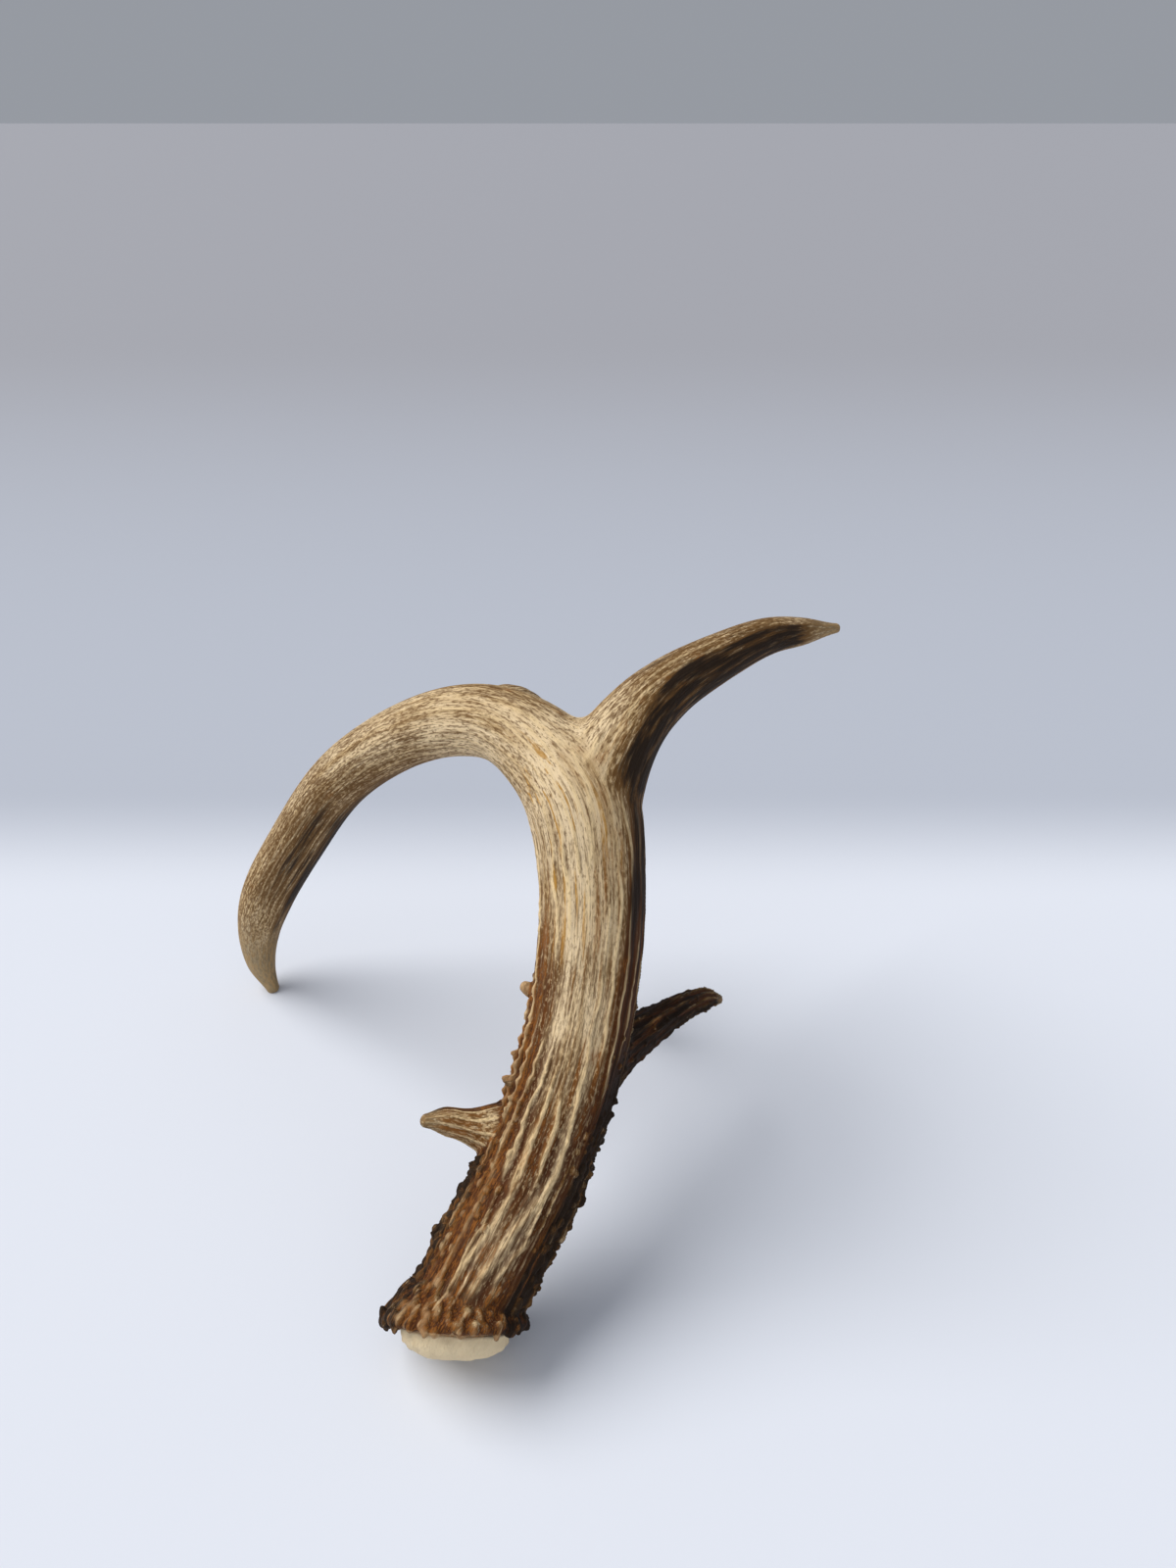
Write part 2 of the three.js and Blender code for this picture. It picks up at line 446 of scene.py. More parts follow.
def fused(mesh, voxel):
    """One closed skin round everything in the mesh."""
    host = new_object("to_fuse", mesh)
    modifier = host.modifiers.new("Fuse", "REMESH")
    modifier.mode = "VOXEL"
    modifier.voxel_size = voxel
    skin = settled(host, modifier)
    bpy.data.objects.remove(host)
    return skin


def smooth_step(values, low, high):
    share = np.clip((values - low) / (high - low), 0, 1)
    return share * share * (3 - 2 * share)


def cloud(points, cell, seed):
    """Smooth noise, about -1 to 1; its cell has one size or one for each axis, in metres."""
    places = points / np.array(cell) + 31.7 * seed
    return np.fromiter(map(noise.noise, places.tolist()), float, len(places))


def unit(vectors):
    return vectors / np.maximum(np.linalg.norm(vectors, axis=-1, keepdims=True), 1e-12)


def facing(out, direction):
    """How much the skin faces a direction, from -1 to 1."""
    return out @ unit(np.array(direction, float))


def side(out, direction, low, high):
    """0 to 1: how much the skin faces a direction, as a smooth step from low to high."""
    return smooth_step(facing(out, direction), low, high)


# ---- Limbs ---------------------------------------------------------------------------------

def smooth_line(stations):
    """A smooth curve through the stations, and the radius along it."""
    rows = np.array(stations)
    places = rows[:, :3]
    radii = rows[:, 3] / 2
    before = 2 * places[0] - places[1]
    after = 2 * places[-1] - places[-2]
    padded = np.vstack([before, places, after])
    steps = np.arange(SPAN_STEPS) / SPAN_STEPS
    line = []
    girth = []
    for i in range(len(places) - 1):
        a, b, c, d = padded[i:i + 4]
        ab, bc, cd = (np.linalg.norm(q - p) ** 0.5 for p, q in ((a, b), (b, c), (c, d)))
        leave = ((b - a) / ab - (c - a) / (ab + bc) + (c - b) / bc) * bc
        arrive = ((c - b) / bc - (d - b) / (bc + cd) + (d - c) / cd) * bc
        line.append(hermite(b, c, leave, arrive, steps[:, None]))
        low = radii[max(i - 1, 0)]
        high = radii[min(i + 2, len(radii) - 1)]
        swell = (radii[i + 1] - low) / 2, (high - radii[i]) / 2
        girth.append(hermite(radii[i], radii[i + 1], *swell, steps))
    return np.vstack([*line, places[-1:]]), np.append(np.concatenate(girth), radii[-1])


def hermite(start, end, leave, arrive, t):
    bend = -3 * start + 3 * end - 2 * leave - arrive
    twist = 2 * start - 2 * end + leave + arrive
    return start + leave * t + bend * t ** 2 + twist * t ** 3


class Near(NamedTuple):
    """What a limb says about some points."""

    height: np.ndarray  # above its skin
    out: np.ndarray  # the way out of it
    along: np.ndarray  # how far along it they are
    straight: np.ndarray  # their place in the limb as if it were pulled straight


class Limb:
    """A centre line with its radius and a frame that is carried along it without twist."""

    def __init__(self, stations, crests, web=0.0, root=1.0, seed=0.0):
        line, girth = smooth_line(stations)
        steps = np.linalg.norm(np.diff(line, axis=0), axis=1)
        run = np.append(0, np.cumsum(steps))
        length = run[-1] - TIP_DOME * girth[-1]
        self.full_length = run[-1]
        self.along = np.linspace(0, length, round(length / SAMPLE_STEP) + 1)
        self.centre = np.stack([np.interp(self.along, run, axis) for axis in line.T], axis=1)
        self.radius = np.interp(self.along, run, girth)
        self.tangent = unit(np.gradient(self.centre, axis=0))
        self.taper = np.gradient(self.radius, self.along)
        self.side = np.empty_like(self.centre)
        carried = np.cross(self.tangent[0], (0.0, 1.0, 0.0))
        for i, tangent in enumerate(self.tangent):
            carried = unit(carried - (carried @ tangent) * tangent)
            self.side[i] = carried
        self.up = np.cross(self.tangent, self.side)
        self.web = web  # width of the smooth web where it grows out of the beam
        self.root = root  # length of it that is hidden in the beam
        self.seed = seed  # sets its grain apart from the other limbs'
        self.crests = crests  # bold crests round it

    def near(self, points):
        nearest = np.empty(len(points), np.int64)
        centre = self.centre.astype(np.float32)
        square = (centre ** 2).sum(1)
        for start in range(0, len(points), NEAR_CHUNK):
            part = points[start:start + NEAR_CHUNK].astype(np.float32)
            nearest[start:start + NEAR_CHUNK] = (square - 2 * part @ centre.T).argmin(1)
        offset = points - self.centre[nearest]
        tangent = self.tangent[nearest]
        forward = np.einsum("ij,ij->i", offset, tangent)
        before = (nearest == 0) & (forward < 0)
        after = (nearest == len(centre) - 1) & (forward > 0)
        inside = np.where(before | after, 0, forward)
        out = offset - inside[:, None] * tangent
        distance = np.linalg.norm(out, axis=1)
        height = distance - self.radius[nearest] - inside * self.taper[nearest]
        along = self.along[nearest] + forward
        across = np.einsum("ij,ij->i", offset, self.side[nearest])
        above = np.einsum("ij,ij->i", offset, self.up[nearest])
        straight = np.stack([across, above, along + self.seed], axis=1)
        return Near(height, unit(out), along, straight)

    def rings(self):
        """Centre line and radii for a sweep, with a dome at the tip."""
        turns = np.radians(DOME_TURNS)
        tip = self.radius[-1]
        dome = self.centre[-1] + np.outer(np.sin(turns) * tip, self.tangent[-1])
        return np.vstack([self.centre, dome]), np.append(self.radius, np.cos(turns) * tip)


BEAM = Limb(MAIN_BEAM, 25)
TINES = {
    "kicker": Limb(KICKER_POINT, 11, web=5 * MM, root=20 * MM, seed=0.7),
    "brow_tine": Limb(BROW_TINE, 13, web=7 * MM, root=22 * MM, seed=1.3),
    "second_tine": Limb(SECOND_TINE, 19, web=7 * MM, root=26 * MM, seed=1.9),
    "third_tine": Limb(THIRD_TINE, 17, web=2.5 * MM, root=20 * MM, seed=2.6),
}
FORK_ALONG = FORK_SHARE * BEAM.full_length


class Skin:
    """The smooth skin of all limbs together at some points."""

    def __init__(self, points):
        beam = BEAM.near(points)
        self.beam = beam
        self.height = beam.height
        self.out = beam.out
        self.tines = {}
        self.share = {}  # of each tine in the grain, 0 on the beam and 1 on the tine
        for name, tine in TINES.items():
            near = tine.near(points)
            web = np.maximum(tine.web * smooth_step(near.along, 0, tine.root), LEAST_WEB)
            lean = np.clip(0.5 + 0.5 * (self.height - near.height) / web, 0, 1)
            self.height = self.height * (1 - lean) + near.height * lean - web * lean * (1 - lean)
            self.out = unit(self.out * (1 - lean)[:, None] + near.out * lean[:, None])
            self.tines[name] = near
        heights = {name: near.height for name, near in self.tines.items()}
        for name, tine in TINES.items():
            others = [height for other, height in heights.items() if other != name]
            nearer = np.min([beam.height, *others], axis=0) - heights[name]
            self.share[name] = smooth_step(nearer, -0.6 * tine.web, 0.6 * tine.web)
        self.foot_height = (points - BURR_CENTRE) @ BURR_AXIS
        lateral = points - BURR_CENTRE - np.outer(self.foot_height, BURR_AXIS)
        self.foot_radius = np.linalg.norm(lateral, axis=1)
        self.foot_out = unit(lateral)
        collar = np.interp(self.foot_height / MM, *np.array(COLLAR).T, left=0, right=0) * MM
        over_collar = self.foot_radius - collar
        # 1 where the skin is a limb's, 0 where it is the burr's or the seal's
        self.free = smooth_step(over_collar - self.height, 0.3 * MM, 2.5 * MM)
        self.free[(self.foot_height < -2 * MM) & (self.foot_radius < FOOT_REACH)] = 0
        self.over_foot = np.minimum(over_collar * COLLAR_SLANT, self.height)


# ---- Burr ----------------------------------------------------------------------------------

def burr_rings():
    """Centre line and radii of the seal and the collar, as a sweep."""
    shares = np.sin(np.linspace(SEAL_EYE, 1, SEAL_RINGS) * math.pi / 2)
    depth = (1 - shares ** SEAL_POWER) ** (1 / SEAL_POWER)
    heights = np.append(SEAL_TOP - SEAL_DEPTH * depth, [h * MM for h, _ in COLLAR])
    radii = np.append(SEAL_RADIUS * shares, [r * MM for _, r in COLLAR])
    return BURR_CENTRE + np.outer(heights, BURR_AXIS), radii


def foot_matrix():
    """Turns a form round +Z onto the foot of the beam."""
    turn = Vector((0, 0, 1)).rotation_difference(Vector(BURR_AXIS))
    return Matrix.Translation(Vector(BURR_CENTRE)) @ turn.to_matrix().to_4x4()


KNOB_RING = 24.2 * MM
KNOB_LEVEL = -0.2 * MM
KNOB_WIDTH = 2.0 * MM
KNOB_LENGTH = 2.5 * MM
KNOB_LEAN = math.radians(14)  # how far a knob leans in at its upper end
KNOB_JITTER = 0.22
COARSE_SIDE = math.radians(185)  # the side of the burr with the boldest knobs
KNOB_RADIUS_JITTER = (-0.0009, 0.0004)
KNOB_HEIGHT_JITTER = (-0.0012, 0.0012)
KNOB_LEAN_JITTER = (-0.18, 0.18)
KNOB_TILT_JITTER = (-0.2, 0.2)


def knob_tree():
    """A ring of knobs round +Z, of uneven size, place and lean."""
    tree, start, end = shape_group("Burr knobs", {
        "Count": ("Int", 36),
        "Ring radius": ("Float", 0.024),
        "Height": ("Float", 0.0),
        "Width": ("Float", 0.0018),
        "Length": ("Float", 0.003),
        "Lean": ("Float", 0.0),
        "Coarse side": ("Float", 0.0),
        "Seed": ("Int", 1),
        "Bone": ("Material", None),
    })
    given = start.outputs

    def chance(low, high, shift):
        seed = maths(tree, "ADD", given["Seed"], shift)
        inputs = {2: low, 3: high, "Seed": seed}
        return node(tree, "FunctionNodeRandomValue", inputs, data_type="FLOAT").outputs[1]

    index = node(tree, "GeometryNodeInputIndex").outputs[0]
    place = maths(tree, "ADD", index, chance(-KNOB_JITTER, KNOB_JITTER, 11))
    full_turn = maths(tree, "DIVIDE", 2 * math.pi, given["Count"])
    angle = maths(tree, "MULTIPLY", place, full_turn)
    boldness = maths(tree, "COSINE", maths(tree, "SUBTRACT", angle, given["Coarse side"]))
    boldness = maths(tree, "MULTIPLY_ADD", boldness, 0.2, 1.0)
    radius = maths(tree, "ADD", given["Ring radius"], chance(*KNOB_RADIUS_JITTER, 12))
    height = maths(tree, "ADD", given["Height"], chance(*KNOB_HEIGHT_JITTER, 13))
    spot = node(tree, "ShaderNodeCombineXYZ", {0: radius, 2: height}).outputs[0]
    inputs = {"Vector": spot, "Angle": angle}
    turned = node(tree, "ShaderNodeVectorRotate", inputs, rotation_type="Z_AXIS").outputs[0]
    points = node(tree, "GeometryNodePoints", {"Count": given["Count"]}).outputs[0]
    placed = node(tree, "GeometryNodeSetPosition", {"Geometry": points, "Position": turned})
    lean = maths(tree, "SUBTRACT", chance(*KNOB_LEAN_JITTER, 14), given["Lean"])
    tilt = chance(*KNOB_TILT_JITTER, 15)
    euler = node(tree, "ShaderNodeCombineXYZ", {0: tilt, 1: lean, 2: angle})
    turn = node(tree, "FunctionNodeEulerToRotation", {0: euler.outputs[0]}).outputs[0]
    size = maths(tree, "MULTIPLY", boldness, chance(0.8, 1.15, 16))
    width = maths(tree, "MULTIPLY", given["Width"], size)
    longer = maths(tree, "MULTIPLY", size, chance(0.8, 1.2, 17))
    length = maths(tree, "MULTIPLY", given["Length"], longer)
    scale = node(tree, "ShaderNodeCombineXYZ", {0: width, 1: width, 2: length}).outputs[0]
    ball = node(tree, "GeometryNodeMeshIcoSphere", {"Radius": 1.0, "Subdivisions": 3}).outputs[0]
    inputs = {"Points": placed.outputs[0], "Instance": ball, "Rotation": turn, "Scale": scale}
    knobs = node(tree, "GeometryNodeInstanceOnPoints", inputs).outputs[0]
    close_tree(tree, knobs, given["Bone"], end)
    return tree


def burr_knobs(form, bone):
    knobs = grown_from(new_mesh("burr_host", [(0, 0, 0)]), knob_tree(), {
        "Count": form.rim_knobs,
        "Ring radius": KNOB_RING,
        "Height": KNOB_LEVEL,
        "Width": KNOB_WIDTH,
        "Length": KNOB_LENGTH,
        "Lean": KNOB_LEAN,
        "Coarse side": COARSE_SIDE,
        "Seed": form.seed,
        "Bone": bone,
    })
    knobs.transform(foot_matrix())
    return knobs


# ---- Pearls --------------------------------------------------------------------------------

def pearl_tree():
    """Pearls on a surface, crowded where its value called pearling is high and long along its
    direction called flow."""
    tree, start, end = shape_group("Pearls", {
        "Geometry": ("Geometry", None),
        "Spacing": ("Float", 0.002),
        "Density": ("Float", 200000.0),
        "Size": ("Float", 0.0014),
        "Least": ("Float", 0.5),
        "Stretch": ("Float", 1.45),
        "Seed": ("Int", 1),
        "Bone": ("Material", None),
    })
    given = start.outputs

    def named(name, kind):
        inputs = {"Name": name}
        return node(tree, "GeometryNodeInputNamedAttribute", inputs, data_type=kind).outputs[0]

    spread = node(tree, "GeometryNodeDistributePointsOnFaces", {
        "Mesh": given["Geometry"],
        "Distance Min": given["Spacing"],
        "Density Max": given["Density"],
        "Density Factor": named("pearling", "FLOAT"),
        "Seed": given["Seed"],
    }, distribute_method="POISSON")
    inputs = {"Rotation": spread.outputs["Rotation"], "Vector": named("flow", "FLOAT_VECTOR")}
    turn = node(tree, "FunctionNodeAlignRotationToVector", inputs, axis="Y", pivot_axis="Z")
    inputs = {2: given["Least"], 3: 1.0, "Seed": given["Seed"]}
    chance = node(tree, "FunctionNodeRandomValue", inputs, data_type="FLOAT").outputs[1]
    size = maths(tree, "MULTIPLY", given["Size"], chance)
    size = maths(tree, "MULTIPLY", size, named("pearl_size", "FLOAT"))
    longer = maths(tree, "MULTIPLY", size, given["Stretch"])
    scale = node(tree, "ShaderNodeCombineXYZ", {0: size, 1: longer, 2: size}).outputs[0]
    ball = node(tree, "GeometryNodeMeshIcoSphere", {"Radius": 1.0, "Subdivisions": 2}).outputs[0]
    inputs = {
        "Points": spread.outputs["Points"], "Instance": ball,
        "Rotation": turn.outputs[0], "Scale": scale,
    }
    pearls = node(tree, "GeometryNodeInstanceOnPoints", inputs).outputs[0]
    close_tree(tree, pearls, given["Bone"], end)
    return tree


def pearling(skin, points):
    """How crowded the pearls are, 0 to 1: on the sides and the back of the base."""
    beam = skin.beam
    along = beam.along / MM
    fade = np.interp(along, [4, 14, 70, 105, 135], [0.2, 1, 0.9, 0.35, 0])
    sides = smooth_step(beam.out[:, 0], 0.55, 0.9) + smooth_step(-beam.out[:, 0], 0.3, 0.75)
    back = side(beam.out, (0.2, 1, -0.5), 0.1, 0.6)
    front = 0.10 * smooth_step(cloud(points, 9 * MM, 5), 0.0, 0.3)
    brow = skin.tines["brow_tine"]
    on_brow = 0.5 * skin.share["brow_tine"] * np.interp(brow.along / MM, [20, 60, 80], [1, 0.5, 0])
    crowd = fade * np.clip(0.9 * sides + 0.55 * back + front, 0, 1)
    for name in ("second_tine", "third_tine", "kicker"):
        crowd *= 1 - skin.share[name]
    return np.maximum(crowd * (1 - skin.share["brow_tine"]), on_brow)


def fingering(skin):
    """How crowded the burr's fingers are, 0 to 1, and how large: all over its collar, and up
    the side where it stands off the beam."""
    height = skin.foot_height / MM
    near = smooth_step(FOOT_REACH - skin.foot_radius, 0, 5 * MM)
    crowd = np.interp(height, [-2.0, -0.5, 9, 14, 19], [0, 1, 1, 0.6, 0]) * near
    left = side(skin.foot_out, (-1, -0.2, 0.1), 0.0, 0.8)
    crowd *= np.clip(1 - skin.free + 0.5 + 0.5 * left, 0, 1)
    size = np.interp(height, [0, 6, 16], [1.0, 0.88, 0.62]) * (0.85 + 0.3 * left)
    return crowd, size


def lone_knobs(bone):
    """Single knobs that stand alone on the lower beam."""
    tree = ball_tree()
    knobs = []
    for x, y, z, radius in LONE_KNOBS:
        host = new_mesh("knob_host", [(0, 0, 0)])
        mesh = grown_from(host, tree, {"Radius": radius, "Bone": bone})
        mesh.transform(Matrix.Translation((x, y, z)))
        knobs.append(mesh)
    return knobs


def ball_tree():
    tree, start, end = shape_group("Ball", {
        "Radius": ("Float", 0.002),
        "Bone": ("Material", None),
    })
    inputs = {"Radius": start.outputs["Radius"], "Subdivisions": 3}
    ball = node(tree, "GeometryNodeMeshIcoSphere", inputs).outputs[0]
    close_tree(tree, ball, start.outputs["Bone"], end)
    return tree


# ---- Sweeping the limbs --------------------------------------------------------------------

def limb_tree():
    """Sweeps a round section along a line of points, at the radius stored on each point."""
    tree, start, end = shape_group("Limb", {
        "Geometry": ("Geometry", None),
        "Sides": ("Int", 40),
        "Bone": ("Material", None),
    })
    given = start.outputs
    line = node(tree, "GeometryNodeMeshToCurve", {"Mesh": given["Geometry"]}).outputs[0]
    inputs = {"Resolution": given["Sides"], "Radius": 1.0}
    ring = node(tree, "GeometryNodeCurvePrimitiveCircle", inputs).outputs[0]
    girth = node(tree, "GeometryNodeInputNamedAttribute", {"Name": "girth"}, data_type="FLOAT")
    inputs = {
        "Curve": line, "Profile Curve": ring, "Scale": girth.outputs[0], "Fill Caps": True,
    }
    tube = node(tree, "GeometryNodeCurveToMesh", inputs).outputs[0]
    close_tree(tree, tube, given["Bone"], end)
    return tree


def swept(tree, rings, bone):
    centre, radius = rings
    edges = [(i, i + 1) for i in range(len(centre) - 1)]
    mesh = new_mesh("limb_line", centre.tolist(), edges=edges)
    write_values(mesh, "girth", radius)
    return grown_from(mesh, tree, {"Bone": bone})


# ---- Relief --------------------------------------------------------------------------------

def crest_lines(straight, count, seed):
    """Bold crests and fine ribs that run along a limb, wander, fade in and out: 1 on their
    tops, 0 between them."""
    turn = np.arctan2(straight[:, 1], straight[:, 0])
    wander = 3.9 * cloud(straight, (15 * MM, 15 * MM, 62 * MM), seed)
    wander += 1.7 * cloud(straight, (6 * MM, 6 * MM, 13 * MM), seed + 1)
    shown = smooth_step(cloud(straight, (8 * MM, 8 * MM, 50 * MM), seed + 2), -0.32, 0.12)
    bold = (0.5 + 0.5 * np.cos(count * turn + wander)) ** 2.8 * (0.12 + 0.88 * shown)
    fine = (0.5 + 0.5 * np.cos((2 * count + 7) * turn + 2.3 * wander)) ** 1.5
    return bold, fine


def relief(straight, count, rugged, form):
    """Height of the grain's relief where a limb is this rugged, 0 to 1, in metres, and its
    bold crests and fine ribs."""
    bold, fine = crest_lines(straight, count, form.seed)
    beads = 0.8 + 0.9 * cloud(straight, (2.6 * MM, 2.6 * MM, 3.4 * MM), form.seed + 3)
    beads = np.clip(beads, 0.25, 1.5)
    flutes = cloud(straight, (10 * MM, 10 * MM, 110 * MM), form.seed + 4)
    crests = bold * (1 + rugged * (beads - 1))
    ribs = fine * (1 + rugged * (beads - 1))
    height = (crests * form.crest_height + ribs * form.rib_height) * rugged
    return height + flutes * form.flute_depth * (0.3 + 0.7 * rugged), bold, fine


def settled_line(line):
    """A line of many points through a few, let down onto the smooth skin."""
    rows = np.array(line)
    stops = np.linspace(0, len(rows) - 1, RIDGE_STEPS)
    dense = np.stack([np.interp(stops, range(len(rows)), axis) for axis in rows.T], axis=1)
    for _ in range(LETTING_DOWN):
        skin = Skin(dense)
        dense -= skin.out * skin.height[:, None]
    return dense


def ridge_share(points, line, width):
    """1 on a line on the skin, falling to 0 over its half width and at its ends."""
    share = np.zeros(len(points))
    least = line.min(0) - 4 * width
    most = line.max(0) + 4 * width
    near = np.nonzero(((points > least) & (points < most)).all(1))[0]
    distance = np.full(len(near), np.inf)
    place = np.zeros(len(near))
    for i, (a, b) in enumerate(zip(line, line[1:])):
        part = np.clip((points[near] - a) @ (b - a) / ((b - a) @ (b - a)), 0, 1)
        here = np.linalg.norm(points[near] - a - part[:, None] * (b - a), axis=1)
        closer = here < distance
        distance[closer] = here[closer]
        place[closer] = (i + part[closer]) / (len(line) - 1)
    ends = smooth_step(np.minimum(place, 1 - place), 0, RIDGE_FADE)
    share[near] = np.exp(-(distance / width) ** 2) * (0.15 + 0.85 * ends)
    return share


TINE_RUGGED = {"kicker": 0.3, "brow_tine": 0.75, "second_tine": 0.1, "third_tine": 0.08}


def surface(points, form):
    """Everything the skin needs to know at its points, as named arrays."""
    skin = Skin(points)
    beam = skin.beam
    along = beam.along / MM
    tine_straight = beam.straight.copy()
    tine_share = np.zeros(len(points))
    for name, near in skin.tines.items():
        share = skin.share[name]
        stronger = share > tine_share
        tine_straight[stronger] = near.straight[stronger]
        tine_share = np.maximum(tine_share, share)

    rugged = np.interp(along, [0, 60, 100, 150, 200, 260, 485],
                       [1.0, 0.92, 0.6, 0.34, 0.16, 0.10, 0.05])
    left = side(beam.out, (-1, -0.15, 0.2), 0.6, 0.95)
    rugged += left * np.interp(along, [20, 70, 110, 190], [0, 0.4, 0.34, 0])
    raised, bold, fine = relief(beam.straight, BEAM.crests, rugged, form)
    tine_rugged = np.zeros(len(points))
    for name, most in TINE_RUGGED.items():
        share = skin.share[name]
        here = share > 0.01
        tine_rugged += most * share
        values = relief(skin.tines[name].straight[here], TINES[name].crests, most, form)
        for whole, part in zip((raised, bold, fine), values):
            whole[here] += (part - whole[here]) * share[here]

    tips = tip_share(skin)
    raised *= 1 - 0.9 * tips
    crest = np.zeros(len(points))
    lumps = 1 + 0.7 * cloud(points, 2.8 * MM, 17)
    wander = cloud(points, 6 * MM, 16) * RIDGE_WANDER
    waved = points + np.cross(skin.out, flow(skin)) * wander[:, None]
    for width, height, bareness, line in RIDGES:
        share = ridge_share(waved, settled_line(line), width) * lumps
        raised = np.maximum(raised, raised * (1 - share) + height * share)
        crest = np.maximum(crest, share * bareness)

    on_seal = 1 - smooth_step(skin.foot_height, -4.4 * MM, -2.9 * MM)
    on_seal *= 1 - smooth_step(skin.foot_radius, 19.2 * MM, 21.5 * MM)
    return {
        "skin": skin, "raised": raised, "crest": crest, "polish": tips,
        "on_foot": 1 - skin.free, "seal": on_seal,
        "grain": beam.straight, "tine_grain": tine_straight, "tine_share": tine_share,
        "rugged": rugged * (1 - tine_share) + tine_rugged, "bold": bold, "fine": fine,
    }


TIP_REACH = {  # length of a tine's polished tip, and how far it is polished
    "kicker": (7 * MM, 0.5),
    "brow_tine": (8 * MM, 0.6),
    "second_tine": (24 * MM, 0.75),
    "third_tine": (40 * MM, 1.0),
}


def tip_share(skin):
    """1 at the polished tips, 0 away from them."""
    tips = smooth_step(skin.beam.along, BEAM.along[-1] - 60 * MM, BEAM.along[-1] - 8 * MM)
    for name, near in skin.tines.items():
        end = TINES[name].along[-1]
        reach, most = TIP_REACH[name]
        share = smooth_step(near.along, end - reach, end - 1 * MM) * most
        tips = np.maximum(tips * (1 - skin.share[name]), share * skin.share[name])
    return tips


# The dark strip is partly the bone's stain and partly painted shade on the side turned away from
# the key light.
STAINED_AND_SHADED_SIDE = (1, 0.1, -0.25)  # where the dark strip of the beam faces
FRONT = (0.05, -0.8, 0.6)

# Sides of the beam that are stained more or less than the rest: where they face, how much the skin
# faces there where the stain starts and is full, places along the beam in millimetres, and how
# much deeper the stain is there.
# The lighter front is painted light: the faces turned to the front are lightened in colour.
BEAM_STAINS_AND_PAINTED_LIGHT = [
    ((-1, 0.2, 0.1), 0.55, 0.95, [0, 60, 115, 190], [0.34, 0.40, 0.10, 0]),
    ((0, 1, -0.5), 0.2, 0.9, [0, 150, 220], [0.35, 0.25, 0]),
    # painted light: the beam's front faces made lighter in colour
    (FRONT, 0.72, 0.98, [0, 30, 55, 85, 190, 230], [-0.14, -0.36, -0.18, -0.26, -0.18, 0]),
    ((0.1, 0.35, 0.94), 0.45, 0.9, [185, 215, 235, 265], [0, 0.06, 0.20, 0]),
]
PATCH_PLACE = 366  # a stained patch, in millimetres along the beam
PATCH_REACH = 32


def stain(skin, points):
    """How deeply the bone is stained, 0 to 1, with painted shade on the beam's dark strip, the
    second tine's dark stripe and the brow tine, and painted light that lightens the front of the
    beam.
    """
    beam = skin.beam
    along = beam.along / MM
    out = beam.out
    base = np.interp(along, [0, 25, 60, 100, 150, 200, 260, 330, 400, 440, 485],
                     [0.66, 0.58, 0.52, 0.42, 0.26, 0.10, 0.14, 0.34, 0.36, 0.26, 0.10])
    edge = np.interp(along, [0, 55, 95, 150], [0.28, 0.34, 0.36, 0.26])
    streaky = 0.22 * cloud(beam.straight, (3.5 * MM, 3.5 * MM, 70 * MM), 21)
    # painted shade with real stain: the strip turned away from the key light is darkened in colour
    right = smooth_step(facing(out, STAINED_AND_SHADED_SIDE) + streaky, edge, 0.6 + 0.4 * edge)
    base += right * np.interp(along, [0, 60, 85, 120, 150, 180, 205],
                              [0.8, 0.72, 0.5, 0.42, 0.6, 0.68, 0.4])
    for direction, low, high, places, depths in BEAM_STAINS_AND_PAINTED_LIGHT:
        base += side(out, direction, low, high) * np.interp(along, places, depths)
    patch = np.exp(-((along - PATCH_PLACE) / PATCH_REACH) ** 2)
    patch *= side(out, (0.25, -0.9, -0.3), 0.5, 1.0)
    base += 0.22 * patch
    streak_side = side(out, (0.35, -0.85, -0.4), 0.2, 0.8)
    base += 0.18 * streak_side * np.interp(along, [235, 270, 400, 440], [0, 1, 1, 0])

    second = skin.tines["second_tine"]
    edge = np.interp(second.along / MM, [0, 30, 60], [0.62, 0.48, 0.30])
    streaky = 0.22 * cloud(second.straight, (3.5 * MM, 3.5 * MM, 60 * MM), 22)
    # a dark stripe on the second tine's lower side away from the key light: real stain with
    # painted shade
    stained_and_shaded_band = smooth_step(facing(second.out, (0.62, -0.78, -0.12)) + streaky, edge, edge + 0.38)
    under = side(second.out, (-0.1, 0.1, -1), 0.1, 0.6)
    stained_and_shaded_band *= 1 - 0.85 * under * np.interp(second.along / MM, [55, 95], [0, 1])
    reach = second.along / MM
    on_second = np.interp(reach, [20, 50, 90], [0.12, 0.42, 0.52])
    on_second += stained_and_shaded_band * np.interp(reach, [2, 16, 112, 138], [0.1, 0.96, 0.86, 0])
    third = skin.tines["third_tine"]
    on_third = 0.40 + 0.20 * side(third.out, (0.3, -0.8, -0.2), 0.2, 0.8)
    kicker = skin.tines["kicker"]
    on_kicker = np.interp(kicker.along / MM, [12, 28, 35], [0.34, 0.28, 0.48])
    on_kicker += 0.4 * side(kicker.out, (0, 0.3, -1), 0.4, 0.9)
    on_kicker += 0.5 * side(kicker.out, (0, 0.5, 0.87), 0.8, 1.0)
    brow = skin.tines["brow_tine"]
    # the brow tine is stained nearly black, which also paints the shade that the beam casts on it
    on_brow = np.interp(brow.along / MM, [20, 80, 94], [0.98, 0.95, 0.62])
    for name, value in (("second_tine", on_second), ("third_tine", on_third),
                        ("kicker", on_kicker), ("brow_tine", on_brow)):
        share = skin.share[name]
        base = base * (1 - share) + value * share
    return np.clip(base + 0.12 * cloud(points, 16 * MM, 9), 0, 1)


BLUSH = 4.5 * MM  # reach of the red round the first lone knob


